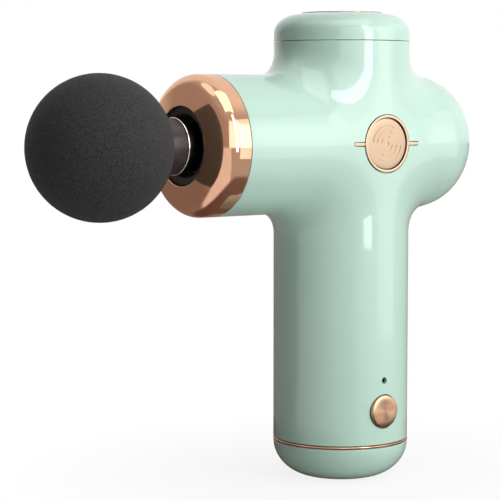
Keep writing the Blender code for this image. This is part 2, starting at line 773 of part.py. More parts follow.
# ---------------------------------------------------------------- head

def make_foam_ball():
    """The foam ball, with a flat seat and a blind bore for its core."""
    seat_x = NECK_FRONT_X - SEAM
    seat_angle = math.degrees(math.acos((seat_x - BALL_X) / BALL_RADIUS))
    bore_end = NECK_FRONT_X - BALL_BORE_DEPTH
    profile = [(0.0, bore_end), (BALL_BORE_RADIUS, bore_end), (BALL_BORE_RADIUS, seat_x)]
    steps = 14
    for step in range(steps):
        angle = math.radians(seat_angle + (180.0 - seat_angle) * step / steps)
        profile.append((BALL_RADIUS * math.sin(angle), BALL_X + BALL_RADIUS * math.cos(angle)))
    profile.append((0.0, BALL_X - BALL_RADIUS))
    foam = make_material("foam_black", FOAM_BLACK, 0.9)
    return lathe("foam_ball", profile, foam, axis="X", centre=(0.0, BARREL_Z), segments=LARGE)


def make_head_plug():
    """The head's moulded core: the part inside the ball, the neck, and the post that plugs in."""
    core = BALL_BORE_RADIUS - SEAM
    core_end = NECK_FRONT_X - BALL_BORE_DEPTH + SEAM
    post_front = NECK_REAR_X
    post_end = post_front + NECK_TRIM_THICKNESS + SEAM + POST_LENGTH
    groove = post_end - 4.6
    profile = [(0.0, core_end), (core - 0.8, core_end), (core, core_end + 0.8)]
    profile += [(core, NECK_FRONT_X), (NECK_RADIUS, NECK_FRONT_X), (NECK_RADIUS, NECK_REAR_X)]
    profile += [(POST_RADIUS, NECK_REAR_X), (POST_RADIUS, groove), (POST_RADIUS - 0.9, groove)]
    profile += [(POST_RADIUS - 0.9, groove + 1.8), (POST_RADIUS, groove + 1.8)]
    profile += [(POST_RADIUS, post_end - 0.8), (POST_RADIUS - 0.8, post_end), (0.0, post_end)]
    lathe("head_plug", profile, black(), axis="X", centre=(0.0, BARREL_Z), segments=MEDIUM)
    seal_x = groove + 0.9
    wire = SEAL_WIRE_RADIUS
    seal = arc((POST_RADIUS - 0.9 + wire + 0.1, seal_x), (wire, wire), 0, 300, 5)
    rubber = make_material("seal_rubber", SOFT_BLACK, 0.6)
    lathe("head_seal", seal, rubber, axis="X", centre=(0.0, BARREL_Z), segments=SMALL)


def make_neck_trim():
    """The thin bright washer behind the neck."""
    low = NECK_REAR_X + SEAM
    profile = ring_profile(POST_RADIUS + SEAM, NECK_TRIM_RADIUS, low, low + NECK_TRIM_THICKNESS)
    chrome = make_material("chrome", CHROME, 0.06, 1.0)
    return lathe("neck_trim_ring", profile, chrome, axis="X", centre=(0.0, BARREL_Z), segments=LARGE)


# ---------------------------------------------------------------- drive

def make_piston():
    """The piston: a bored front for the head's post, and a flat tongue behind for the wrist pin."""
    front = NECK_REAR_X + NECK_TRIM_THICKNESS + 3 * SEAM
    back = WRIST_X + 4.7
    bore = POST_RADIUS + 0.6
    bore_end = front + POST_LENGTH + 1.5
    profile = [(0.0, bore_end), (bore, bore_end), (bore, front), (PISTON_RADIUS - 0.4, front)]
    profile += [(PISTON_RADIUS, front + 0.4), (PISTON_RADIUS, back - 0.6)]
    profile += [(PISTON_RADIUS - 0.6, back), (0.0, back)]
    origin = (front, 0.0, BARREL_Z)
    centre = (0.0, BARREL_Z)
    piston = lathe("piston", profile, steel(), "X", centre, segments=LARGE, origin=origin)
    wide = PISTON_RADIUS + 1.0
    cut_from = WRIST_X - ROD_SMALL_RADIUS - STROKE - 1.3
    low = (cut_from, -wide, EYE_LOW - OPEN_PIVOT_GAP - TONGUE_TOP_DROP)
    cut_box(piston, "tongue_cut", low, (back + 1.0, wide, BARREL_Z + wide))
    hole = WRIST_PIN_RADIUS + SEAM
    drill(piston, "wrist_hole", hole, "Z", [(WRIST_X, 0.0)], BARREL_Z - wide, BARREL_Z + wide, SMALL)
    return piston


def make_wrist_pin():
    """The pin in the piston's tongue. It stops short of the rod's eye, which is the opened pivot."""
    low = BARREL_Z - PISTON_RADIUS + 0.6
    profile = rod_profile(WRIST_PIN_RADIUS, low, EYE_LOW - OPEN_PIVOT_GAP)
    return lathe("wrist_pin", profile, steel(), centre=(WRIST_X, 0.0), segments=SMALL)


def rod_outline():
    """The rod seen from above: two round ends joined by a narrower beam."""
    half_beam = 3.0
    points = []
    big_angle = math.degrees(math.asin(half_beam / ROD_BIG_RADIUS))
    small_angle = math.degrees(math.asin(half_beam / ROD_SMALL_RADIUS))
    big = (ROD_BIG_RADIUS, ROD_BIG_RADIUS)
    small = (ROD_SMALL_RADIUS, ROD_SMALL_RADIUS)
    points += arc((CRANK_X, 0.0), big, -180 + big_angle, 180 - big_angle, 16)
    points += arc((WRIST_X, 0.0), small, small_angle, 360 - small_angle, 10)
    return points


def make_connecting_rod():
    """The rod: thick at the crank, and thin at the eye so that it passes over the wrist pin."""
    bm = bmesh.new()
    plate(bm, rod_outline(), ROD_LOW, ROD_HIGH)
    origin = (CRANK_X, 0.0, BARREL_Z)
    rod = add_object("connecting_rod", bm, make_material("rod_alloy", STEEL, 0.35, 1.0), origin)
    wide = ROD_SMALL_RADIUS + 1.0
    cut_to = WRIST_X + ROD_SMALL_RADIUS + STROKE + 1.5
    cut_box(rod, "eye_cut", (WRIST_X - wide, -wide, ROD_LOW - 1.0), (cut_to, wide, EYE_LOW))
    seat = CRANK_PIN_RADIUS + RUNNING + 2.2 + SEAM
    drill(rod, "big_eye", seat, "Z", [(CRANK_X, 0.0)], ROD_LOW - 1, ROD_HIGH + 1, MEDIUM)
    eye = WRIST_PIN_RADIUS + SEAM
    drill(rod, "small_eye", eye, "Z", [(WRIST_X, 0.0)], EYE_LOW - 1, ROD_HIGH + 1, SMALL)
    bearing = ring_profile(CRANK_PIN_RADIUS + RUNNING, seat - SEAM, ROD_LOW + 0.4, ROD_HIGH - 0.4)
    lathe("rod_bearing", bearing, make_material("bearing_steel", STEEL, 0.2, 1.0),
          centre=(CRANK_X, 0.0), segments=MEDIUM, origin=origin)
    return rod


def make_crank():
    """The eccentric wheel with its counterweight side, and the crank pin below it."""
    bm = bmesh.new()
    turned(bm, rod_profile(WHEEL_RADIUS, WHEEL_LOW, WHEEL_HIGH, 0.4))
    wheel = add_object("eccentric_wheel", bm, make_material("wheel_brass", BRONZE, 0.35, 1.0))
    pin_top = WHEEL_LOW + 2.3
    drill(wheel, "shaft_bore", SHAFT_RADIUS + SEAM, "Z", [(0.0, 0.0)], pin_top + 0.6, WHEEL_HIGH + 1)
    hole = CRANK_PIN_RADIUS + SEAM
    drill(wheel, "pin_bore", hole, "Z", [(CRANK_X, 0.0)], WHEEL_LOW - 1, pin_top, SMALL)
    cuts = bmesh.new()
    for side in (-1, 1):
        near, far = sorted((side * (CRANK_PIN_RADIUS + 2.6), side * (WHEEL_RADIUS + 1)))
        box_mesh(cuts, (-WHEEL_RADIUS - 1, near, WHEEL_LOW - 1), (-1.5, far, WHEEL_HIGH + 1))
    cut_shapes(wheel, "wheel_lightening", cuts)
    profile = rod_profile(CRANK_PIN_RADIUS, ROD_LOW - 0.4, pin_top - SEAM)
    lathe("crank_pin", profile, steel(), centre=(CRANK_X, 0.0), segments=SMALL)
    shaft = rod_profile(SHAFT_RADIUS, pin_top + 0.6 + SEAM, BELL_HIGH + 1.2)
    lathe("motor_shaft", shaft, steel(), segments=SMALL)


def make_motor():
    """The motor: mount plate with bearing tube, bearings, slotted stator, magnets and rotor bell."""
    tube_inner = BEARING_RADIUS + SEAM
    tube_outer = tube_inner + 1.2
    disc = INNER_RADIUS - MOUNT_CLEARANCE
    tube_top = STATOR_HIGH + 1.4
    profile = [(tube_inner, tube_top), (tube_outer, tube_top), (tube_outer, MOUNT_HIGH)]
    profile += [(disc, MOUNT_HIGH), (disc, MOUNT_LOW), (tube_inner, MOUNT_LOW)]
    alloy = make_material("mount_alloy", STEEL, 0.4, 1.0)
    mount = lathe("motor_mount", profile, alloy, segments=LARGE)
    plain = MAIN_SCREW_RADIUS + PLAIN_CLEARANCE
    drill(mount, "mount_holes", plain, "Z", MOUNT_SCREWS, MOUNT_LOW - 1, MOUNT_HIGH + 1)
    rubber = make_material("damper_rubber", SOFT_BLACK, 0.7)
    inner = MAIN_SCREW_RADIUS + TAPPED_CLEARANCE
    washer = ring_profile(inner, inner + SCREW_HEAD_LAP, DAMPER_LOW, DAMPER_LOW + DAMPER_THICKNESS)
    for number, place in enumerate(MOUNT_SCREWS, 1):
        lathe("mount_damper_%d" % number, washer, rubber, centre=place, segments=TINY)
    race = make_material("bearing_steel", STEEL, 0.2, 1.0)
    upper = tube_top - 0.4 - BEARING_HEIGHT
    for name, low in (("lower_bearing", MOUNT_LOW + 0.4), ("upper_bearing", upper)):
        ring = ring_profile(SHAFT_RADIUS + RUNNING, BEARING_RADIUS, low, low + BEARING_HEIGHT)
        lathe(name, ring, race, segments=MEDIUM)
    make_stator(tube_outer + SEAM)
    magnet_inner = STATOR_RADIUS + 0.4
    magnet_outer = magnet_inner + MAGNET_THICKNESS
    ring = ring_profile(magnet_inner, magnet_outer, STATOR_LOW, STATOR_HIGH)
    lathe("magnet_ring", ring, make_material("magnet_grey", GREY_NYLON, 0.3, 1.0), segments=MEDIUM)
    bell_inner = BELL_RADIUS - BELL_WALL
    web = BELL_HIGH - 1.6
    hub = SHAFT_RADIUS + SEAM
    profile = [(hub, BELL_HIGH), (BELL_RADIUS - 0.8, BELL_HIGH), (BELL_RADIUS, BELL_HIGH - 0.8)]
    profile += [(BELL_RADIUS, BELL_LOW), (bell_inner, BELL_LOW), (bell_inner, web), (hub + 2, web)]
    profile += [(hub + 2, web - 0.8), (hub, web - 0.8)]
    lathe("rotor_bell", profile, steel(), segments=MEDIUM)


def make_stator(inner):
    """The wound stator, as a slotted ring."""
    bm = bmesh.new()
    outline = []
    for slot in range(STATOR_SLOTS):
        middle = 360.0 * slot / STATOR_SLOTS
        root = inner + 2.6
        corners = ((root, -6.0), (STATOR_RADIUS, -17.0), (STATOR_RADIUS, 17.0), (root, 6.0))
        for radius, turn in corners:
            angle = math.radians(middle + turn)
            outline.append((radius * math.cos(angle), radius * math.sin(angle)))
    plate(bm, outline, STATOR_LOW, STATOR_HIGH)
    stator = add_object("motor_stator", bm, make_material("winding_copper", COPPER, 0.35, 1.0))
    drill(stator, "stator_bore", inner, "Z", [(0.0, 0.0)], STATOR_LOW - 1, STATOR_HIGH + 1, MEDIUM)


def make_guide():
    """The flanged guide sleeve and the bronze bush that the piston runs in."""
    flange_low = NOSE_BACK_X + SEAM
    flange_radius = BARREL_RADIUS - WALL - SPIGOT_CLEARANCE
    front = NOSE_STEP_X + COLLAR_FLANGE + SEAM
    profile = [(SLEEVE_INNER, SLEEVE_REAR_X), (SLEEVE_OUTER, SLEEVE_REAR_X)]
    profile += [(SLEEVE_OUTER, flange_low + FLANGE_THICKNESS)]
    profile += [(flange_radius, flange_low + FLANGE_THICKNESS), (flange_radius, flange_low)]
    profile += [(SLEEVE_OUTER, flange_low), (SLEEVE_OUTER, front), (SLEEVE_INNER, front)]
    sleeve = lathe("guide_sleeve", profile, nylon(), axis="X", centre=(0.0, BARREL_Z), segments=LARGE)
    low = flange_low - 1
    plain = SLEEVE_SCREW_SHANK + PLAIN_CLEARANCE
    drill(sleeve, "sleeve_holes", plain, "X", sleeve_screw_places(), low, low + FLANGE_THICKNESS + 2)
    inner = PISTON_RADIUS + RUNNING
    ring = ring_profile(inner, inner + BUSH_WALL, front + 0.5, SLEEVE_REAR_X - 0.5)
    bronze = make_material("bush_bronze", BRONZE, 0.4, 1.0)
    lathe("guide_bush", ring, bronze, axis="X", centre=(0.0, BARREL_Z), segments=LARGE)


# ---------------------------------------------------------------- battery, boards, button and port

def make_cells():
    """Two lithium cells side by side, and the strip that links them."""
    blue = make_material("cell_wrap", CELL_BLUE, 0.35)
    cap = 0.7
    for number, side in enumerate((-1, 1), 1):
        profile = [(0.0, CELL_TOP), (3.0, CELL_TOP), (3.0, CELL_TOP - cap)]
        profile += [(CELL_RADIUS - 0.6, CELL_TOP - cap), (CELL_RADIUS, CELL_TOP - cap - 0.6)]
        profile += [(CELL_RADIUS, CELL_BOTTOM_Z + 0.6), (CELL_RADIUS - 0.6, CELL_BOTTOM_Z)]
        profile += [(0.0, CELL_BOTTOM_Z)]
        centre = (side * CELL_PITCH / 2, 0.0)
        lathe("battery_cell_%d" % number, profile, blue, centre=centre, segments=MEDIUM)
    low = (-CELL_PITCH / 2 - 2.5, -2.5, CELL_TOP + SEAM)
    high = (CELL_PITCH / 2 + 2.5, 2.5, CELL_TOP + SEAM + 0.4)
    box("cell_link_strip", low, high, make_material("nickel", CHROME, 0.25, 1.0))


def make_cradle():
    """The battery cradle: end plates, a rear spine, a front rail for the board and two lower posts."""
    front = BOARD_FRONT_Y + BOARD_THICKNESS + SEAM
    cells_front = -CELL_RADIUS - SEAM
    outline = []
    for x, y in circle_points(MEDIUM, INNER_RADIUS - CRADLE_CLEARANCE, 180.0 / MEDIUM):
        outline.append((x, max(y, front)))
    post_low = CHARGE_BOARD_Z + BOARD_THICKNESS + SEAM
    bm = bmesh.new()
    plate(bm, outline, CRADLE_LOW, CRADLE_LOW + CRADLE_PLATE)
    cradle = add_object("battery_cradle", bm, nylon())
    joined = bmesh.new()
    spine_high = CRADLE_HIGH - 0.5
    box_mesh(joined, (-5.0, CELL_RADIUS + SEAM, CRADLE_LOW + 0.5), (5.0, CELL_RADIUS + 3.0, spine_high))
    rail_high = board_screw_heights()[-1] + 4.0
    box_mesh(joined, (-6.0, front + 0.05, CRADLE_LOW + 0.5), (6.0, cells_front, rail_high))
    for place in charge_posts():
        round_mesh(joined, 2.2, "Z", place, post_low, CRADLE_LOW + 0.5)
    join_shapes(cradle, "cradle_uprights", joined)
    top = bmesh.new()
    plate(top, outline, CRADLE_HIGH - CRADLE_PLATE, CRADLE_HIGH)
    join_shapes(cradle, "cradle_top_plate", top)
    tapped = CHARGE_SCREW_SHANK + TAPPED_CLEARANCE
    plain = MAIN_SCREW_RADIUS + PLAIN_CLEARANCE
    drill(cradle, "charge_post_holes", tapped, "Z", charge_posts(), post_low - 1, CRADLE_LOW - 1)
    plate_high = CRADLE_LOW + CRADLE_PLATE + 1
    drill(cradle, "cradle_holes", plain, "Z", BOSS_POSITIONS, CRADLE_LOW - 1, plate_high)
    heights = [(0.0, z) for z in board_screw_heights()]
    tapped = BOARD_SCREW_SHANK + TAPPED_CLEARANCE
    drill(cradle, "board_rail_holes", tapped, "Y", heights, front - 1, cells_front + 1)


def charge_posts():
    """Where the charge board's two posts stand."""
    return ((-CHARGE_POST_PLACE, -CHARGE_POST_PLACE), (-CHARGE_POST_PLACE, CHARGE_POST_PLACE))


def board_screw_heights():
    """Heights of the two screws that hold the control board."""
    return (LED_Z + 5.5, LED_Z + 19.5)


def make_boards():
    """The upright control board with its switch and lamp, and the level charge board."""
    green = board_material()
    back = BOARD_FRONT_Y + BOARD_THICKNESS
    board = box("control_board", (-11.5, BOARD_FRONT_Y, 16.0), (11.5, back, 56.0), green)
    heights = [(0.0, z) for z in board_screw_heights()]
    plain = BOARD_SCREW_SHANK + PLAIN_CLEARANCE
    drill(board, "board_holes", plain, "Y", heights, BOARD_FRONT_Y - 1, back + 1)
    low = (-8.0, -9.0, CHARGE_BOARD_Z)
    high = (PORT_BACK_X + PORT_ON_BOARD, 9.0, CHARGE_BOARD_Z + BOARD_THICKNESS)
    charge = box("charge_board", low, high, green)
    plain = CHARGE_SCREW_SHANK + PLAIN_CLEARANCE
    drill(charge, "charge_holes", plain, "Z", charge_posts(), CHARGE_BOARD_Z - 1, high[2] + 1)
    face = BOARD_FRONT_Y - SEAM
    bm = bmesh.new()
    body_y = SWITCH_TIP_Y + 0.4
    box_mesh(bm, (-3.0, body_y, BUTTON_Z - 3.0), (3.0, face, BUTTON_Z + 3.0))
    switch = add_object("button_switch", bm, black())
    plunger = bmesh.new()
    round_mesh(plunger, 1.6, "Y", (0.0, BUTTON_Z), SWITCH_TIP_Y, body_y + 0.6)
    join_shapes(switch, "switch_plunger", plunger)
    clear = make_material("lamp_clear", (0.8, 0.85, 0.8, 1.0), 0.2)
    lens = rod_profile(LED_RADIUS, -HANDLE_RADIUS + 0.5, face)
    lathe("status_lamp", lens, clear, axis="Y", centre=(0.0, LED_Z), segments=TINY)


def make_button():
    """The power button: a metal-faced cap with an inner flange and a stem towards the switch."""
    front = -HANDLE_RADIUS - BUTTON_PROUD
    flange = BUTTON_RADIUS + 0.7
    profile = [(0.0, front), (BUTTON_RADIUS - 0.3, front), (BUTTON_RADIUS, front + 0.3)]
    profile += [(BUTTON_RADIUS, BUTTON_FLANGE_Y), (flange, BUTTON_FLANGE_Y)]
    profile += [(flange, BUTTON_BACK_Y), (0.0, BUTTON_BACK_Y)]
    origin = (0.0, front, BUTTON_Z)
    return lathe("power_button", profile, rose_gold(), axis="Y", centre=(0.0, BUTTON_Z), origin=origin)


def make_port():
    """The charging inlet: a metal shell, open to +X, with a tongue inside."""
    outer = HANDLE_RADIUS - PORT_RECESS
    low = (PORT_BACK_X, -PORT_WIDTH / 2, PORT_LOW)
    high = (outer, PORT_WIDTH / 2, PORT_LOW + PORT_HEIGHT)
    bm = bmesh.new()
    box_mesh(bm, low, high)
    along = [edge for edge in bm.edges if abs(edge.verts[0].co.x - edge.verts[1].co.x) > 1.0]
    bmesh.ops.bevel(bm, geom=along, offset=1.2, segments=3, profile=0.5, affect="EDGES")
    port = add_object("charging_port", bm, steel())
    bm = bmesh.new()
    mouth_low = (low[0] + 1.0, low[1] + PORT_SHELL, low[2] + PORT_SHELL)
    mouth_high = (high[0] + 1.0, high[1] - PORT_SHELL, high[2] - PORT_SHELL)
    box_mesh(bm, mouth_low, mouth_high)
    along = [edge for edge in bm.edges if abs(edge.verts[0].co.x - edge.verts[1].co.x) > 1.0]
    bmesh.ops.bevel(bm, geom=along, offset=0.9, segments=3, profile=0.5, affect="EDGES")
    combine(port, helper("port_mouth", bm), "DIFFERENCE")
    tongue = bmesh.new()
    box_mesh(tongue, (low[0] + 0.5, -3.3, PORT_Z - 0.35), (high[0] - 1.0, 3.3, PORT_Z + 0.35))
    join_shapes(port, "port_tongue", tongue)
    return port


# ---------------------------------------------------------------- screws

def make_screw(name, axis, centre, seat, reach, out, shank):
    """A cap screw. seat is where the head's underside rests, and out is +1 or -1 towards the head."""
    head = shank + SCREW_HEAD_LAP
    height = head * 0.8
    socket = head * 0.45
    profile = [(0.0, seat + out * height * 0.4), (socket, seat + out * height * 0.4)]
    profile += [(socket, seat + out * height), (head, seat + out * height), (head, seat)]
    profile += [(shank, seat), (shank, seat - out * reach), (0.0, seat - out * reach)]
    return lathe(name, profile, steel(), axis=axis, centre=centre, segments=TINY)


def make_screws():
    """Every fastener, each seated on the piece that it holds."""
    main = MAIN_SCREW_RADIUS
    for number, place in enumerate(MOUNT_SCREWS, 1):
        make_screw("mount_screw_%d" % number, "Z", place, MOUNT_HIGH + SEAM, 6.5, 1, main)
    for number, place in enumerate(BOSS_POSITIONS, 1):
        make_screw("cradle_screw_%d" % number, "Z", place, CRADLE_LOW - SEAM, 8.0, -1, main)
    seat = NOSE_BACK_X + FLANGE_THICKNESS + 2 * SEAM
    for number, place in enumerate(sleeve_screw_places(), 1):
        make_screw("sleeve_screw_%d" % number, "X", place, seat, 7.0, 1, SLEEVE_SCREW_SHANK)
    seat = BOARD_FRONT_Y - SEAM
    for number, z in enumerate(board_screw_heights(), 1):
        make_screw("board_screw_%d" % number, "Y", (0.0, z), seat, 3.6, -1, BOARD_SCREW_SHANK)
    seat = CHARGE_BOARD_Z - SEAM
    for number, place in enumerate(charge_posts(), 1):
        make_screw("charge_screw_%d" % number, "Z", place, seat, 6.5, -1, CHARGE_SCREW_SHANK)


# ---------------------------------------------------------------- assembly

def main():
    clear_scene()
    make_housing()
    make_bottom_cap()
    make_bottom_trim()
    make_top_cap()
    make_top_plate()
    make_nose_ring()
    make_nose_collar()
    make_badge()
    make_foam_ball()
    make_head_plug()
    make_neck_trim()
    make_piston()
    make_wrist_pin()
    make_connecting_rod()
    make_crank()
    make_motor()
    make_guide()
    make_cells()
    make_cradle()
    make_boards()
    make_button()
    make_port()
    make_screws()


main()
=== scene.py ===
"""Finished pieces, materials and studio for a compact massage gun with a foam ball head.

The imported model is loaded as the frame. Every piece is modelled in metres where that frame says:
+Z is up, the handle stands on the Z axis and the barrel runs along X with the head towards -X.
"""

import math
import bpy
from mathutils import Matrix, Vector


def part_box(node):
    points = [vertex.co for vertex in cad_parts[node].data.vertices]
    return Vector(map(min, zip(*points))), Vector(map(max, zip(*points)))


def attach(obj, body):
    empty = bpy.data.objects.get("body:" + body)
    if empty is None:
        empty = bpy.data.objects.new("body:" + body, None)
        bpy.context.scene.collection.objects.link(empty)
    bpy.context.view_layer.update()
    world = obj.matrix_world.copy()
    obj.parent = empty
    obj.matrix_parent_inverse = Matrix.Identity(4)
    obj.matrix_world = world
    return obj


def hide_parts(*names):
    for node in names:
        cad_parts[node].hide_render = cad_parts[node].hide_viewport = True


bl_info = {
    "name": "Massage Gun Looks",
    "version": (1, 0, 0),
    "blender": (4, 5, 0),
    "location": "3D View > Sidebar > Massage Gun",
    "description": "Models the outer pieces of a massage gun and gives every piece its material",
    "category": "Add Mesh",
}

import bmesh
import bpy
from bpy.props import FloatProperty, FloatVectorProperty, IntProperty, PointerProperty
from mathutils import Vector

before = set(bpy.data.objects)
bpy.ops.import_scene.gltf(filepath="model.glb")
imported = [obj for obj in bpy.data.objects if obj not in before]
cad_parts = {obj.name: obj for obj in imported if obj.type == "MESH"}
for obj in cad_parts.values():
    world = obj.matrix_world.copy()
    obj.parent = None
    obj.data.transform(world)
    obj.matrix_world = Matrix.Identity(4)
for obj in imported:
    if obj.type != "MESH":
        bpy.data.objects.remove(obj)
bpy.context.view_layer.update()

MM = 0.001
AXIS_INDEX = {"X": 0, "Y": 1, "Z": 2}
AXIS_VECTOR = {"X": (1, 0, 0), "Y": (0, 1, 0), "Z": (0, 0, 1)}


# ---------------------------------------------------------------- places read from the frame

def low(node):
    """Lowest corner of a frame node."""
    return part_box(node)[0]


def high(node):
    """Highest corner of a frame node."""
    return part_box(node)[1]


def middle(node):
    """Centre of a frame node."""
    return (low(node) + high(node)) / 2


BARREL_Z = middle("nose_ring").z


def axis_centre(axis, z=None):
    """A point on the axis that pieces of one direction turn about."""
    if axis == "X":
        return Vector((0.0, 0.0, BARREL_Z))
    if axis == "Y":
        return Vector((0.0, 0.0, z))
    return Vector((0.0, 0.0, 0.0))


def reach(node, axis, at=None, centre=None):
    """Radius of a turned frame node about its axis: overall, or at one place along the axis."""
    index = AXIS_INDEX[axis]
    centre = centre or axis_centre(axis, middle(node).z)
    found = 0.0
    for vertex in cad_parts[node].data.vertices:
        if at is not None and abs(vertex.co[index] - at) > 0.02 * MM:
            continue
        across = vertex.co - centre
        across[index] = 0.0
        found = max(found, across.length)
    return found


HANDLE_RADIUS = reach("top_cap", "Z")
BARREL_RADIUS = reach("nose_ring", "X")
BODY_BOTTOM_Z = low("main_housing").z
BODY_TOP_Z = high("main_housing").z
NOSE_X = low("main_housing").x
TIP_X = high("main_housing").x


# ---------------------------------------------------------------- settings

def length(name, description, default_mm):
    """A length property, given in millimetres."""
    return FloatProperty(
        name=name, description=description, default=default_mm * MM, min=0.0, subtype="DISTANCE",
        unit="LENGTH",
    )


def count(name, description, default):
    """A number of segments."""
    return IntProperty(name=name, description=description, default=default, min=8)


def number(name, description, default):
    """A plain number that isn't negative."""
    return FloatProperty(name=name, description=description, default=default, min=0.0)


def colour(name, description, default):
    """A linear colour property."""
    return FloatVectorProperty(
        name=name, description=description, default=default, min=0.0, max=1.0, size=3, subtype="COLOR"
    )


class MassageGunSizes(bpy.types.PropertyGroup):
    """Sizes of the outer pieces that the frame doesn't settle."""

    fillet: length("Fillet", "Radius rolled between handle and barrel at the side", 10.3)
    front_reach: length("Front reach", "How far the fillet reaches at the front", 26.5)
    wall: length("Wall", "Thickness of the housing", 2.2)
    dome_length: length("Dome length", "Length of the barrel's rounded rear end", 18.6)
    dome_power: number("Dome power", "Squareness of the rear dome", 2.2)
    seam: length("Seam", "Gap between pieces that meet", 0.14)
    edge: length("Edge rounding", "Radius along the rims of the casing", 0.16)
    shoulder: length("Top shoulder", "Height of the rounding round the top cap", 6.3)
    shoulder_width: length("Shoulder width", "Width of the rounding round the top cap", 8.4)
    base_flat: length("Base flat", "Radius of the flat underside", 9.0)
    nose_corner: length("Nose corner", "Radius between the nose ring's band and its cone", 5.2)
    nose_band: length("Nose band", "Straight length of the nose ring", 4.4)
    badge_rim: length("Badge rim", "Width of the badge's raised rim", 0.8)
    badge_bar: length("Badge bar", "Half the height of the badge's side bars", 0.47)
    steps: count("Steps", "Segments round each turned piece", 144)
    half_steps: count("Half steps", "Segments round half of the housing", 64)


class MassageGunFinish(bpy.types.PropertyGroup):
    """Colours of the finishes."""

    mint: colour("Mint", "Gloss paint of the casing", (0.50, 0.72, 0.61))
    rose_gold: colour("Rose gold", "Plated trim", (0.86, 0.49, 0.31))
    pale_gold: colour("Pale gold", "Badge", (0.47, 0.34, 0.235))
    bronze_trim: colour("Bronze trim", "Top plate", (0.25, 0.15, 0.115))
    foam: colour("Foam", "Ball", (0.032, 0.031, 0.0315))
    soft_black: colour("Soft black", "Neck and small plastic pieces", (0.034, 0.031, 0.033))
    rubber: colour("Rubber", "Collar and seals", (0.012, 0.011, 0.011))
    floor: colour("Floor", "Studio floor", (0.70, 0.70, 0.70))


class MassageGunStage(bpy.types.PropertyGroup):
    """The camera's lens, and each light's brightness against white at 1."""

    lens: number("Lens", "Focal length in millimetres", 134.85)
    strip_brightness: number("Strip", "Tall strip beside the camera", 5.7)
    side_brightness: number("Side", "Softbox to the right", 1.1)
    fill_brightness: number("Fill", "Broad light above the camera", 0.55)
    back_brightness: number("Back", "Broad light behind and to the right", 1.15)
    rim_brightness: number("Rim", "Small light behind and to the left", 6.0)
    top_brightness: number("Top", "Overhead softbox", 1.8)


# ---------------------------------------------------------------- modelling helpers

def deselect():
    """Back to object mode with nothing selected."""
    if bpy.context.mode != "OBJECT":
        bpy.ops.object.mode_set(mode="OBJECT")
    bpy.ops.object.select_all(action="DESELECT")


def pick(piece):
    """Makes one object the only selected one."""
    deselect()
    piece.select_set(True)
    bpy.context.view_layer.objects.active = piece


def named(name):
    """Names the active object and its mesh."""
    piece = bpy.context.active_object
    piece.name = name
    piece.data.name = name
    return piece


def select_where(piece, kind, test):
    """In edit mode, selects only the vertices, edges or faces whose place passes a test."""
    bpy.ops.mesh.select_all(action="DESELECT")
    bpy.ops.mesh.select_mode(type={"verts": "VERT", "edges": "EDGE", "faces": "FACE"}[kind])
    mesh = bmesh.from_edit_mesh(piece.data)
    for element in getattr(mesh, kind):
        element.select_set(bool(test(element)))
    mesh.select_flush_mode()
    bmesh.update_edit_mesh(piece.data)


def clean_up():
    """In edit mode, merges doubled points and turns the faces outwards."""
    bpy.ops.mesh.select_all(action="SELECT")
    bpy.ops.mesh.remove_doubles(threshold=0.001 * MM)
    bpy.ops.mesh.normals_make_consistent(inside=False)


def arc(centre, radii, start, end, steps):
    """Points (radius, along) on an elliptical arc between two angles in degrees."""
    angles = [math.radians(start + (end - start) * step / steps) for step in range(steps + 1)]
    return [(centre[0] + radii[0] * math.cos(a), centre[1] + radii[1] * math.sin(a)) for a in angles]


def turn(name, outline, axis, centre, steps, angle=360.0):
    """Draws a half section of (radius, along) points and spins it about an axis.

    A part turn is of a closed section, and its two ends are filled.
    """
    deselect()
    points = [centre.copy() for _ in outline]
    for point, (radius, along) in zip(points, outline):
        point[AXIS_INDEX[axis]] = along
        point[1 if axis == "X" else 0] += radius
    bpy.ops.mesh.primitive_plane_add(size=MM)
    bpy.ops.object.mode_set(mode="EDIT")
    bpy.ops.mesh.select_mode(type="VERT")
    bpy.ops.mesh.merge(type="CENTER")
    bpy.ops.transform.translate(value=points[0])
    for before, after in zip(points, points[1:]):
        bpy.ops.mesh.extrude_vertices_move(TRANSFORM_OT_translate={"value": after - before})
    bpy.ops.mesh.select_all(action="SELECT")
    bpy.ops.mesh.spin(steps=steps, angle=math.radians(angle), center=centre, axis=AXIS_VECTOR[axis])
    clean_up()
    if angle < 360.0:
        bpy.ops.mesh.fill_holes(sides=0)
        clean_up()
    bpy.ops.object.mode_set(mode="OBJECT")
    return named(name)


def apply_modifier(piece, name, kind, **settings):
    """Adds a modifier with these settings and applies it."""
    pick(piece)
    modifier = piece.modifiers.new(name, kind)
    for key, value in settings.items():
        setattr(modifier, key, value)
    bpy.ops.object.modifier_apply(modifier=modifier.name)


def round_edges(piece, width, segments=3, angle=35.0):
    """Rounds every edge sharper than an angle, and smooths the piece."""
    apply_modifier(
        piece, "Rounded edges", "BEVEL", width=width, segments=segments, limit_method="ANGLE",
        angle_limit=math.radians(angle), use_clamp_overlap=True,
    )
    smooth(piece)


def smooth(piece, angle=40.0):
    """Smooth shading that keeps flat faces flat beside rounded edges."""
    pick(piece)
    bpy.ops.object.shade_smooth_by_angle(angle=math.radians(angle))
    apply_modifier(piece, "Even normals", "WEIGHTED_NORMAL", keep_sharp=True, weight=50)


def cut(piece, cutter, operation="DIFFERENCE"):
    """Cuts or joins another object with an exact Boolean, and removes that object."""
    apply_modifier(piece, "Cut", "BOOLEAN", operation=operation, solver="EXACT", object=cutter)
    bpy.data.objects.remove(cutter, do_unlink=True)


def place_here(piece):
    """Puts the object's own place, turn and size into its mesh."""
    pick(piece)
    bpy.ops.object.transform_apply(location=True, rotation=True, scale=True)
    return piece


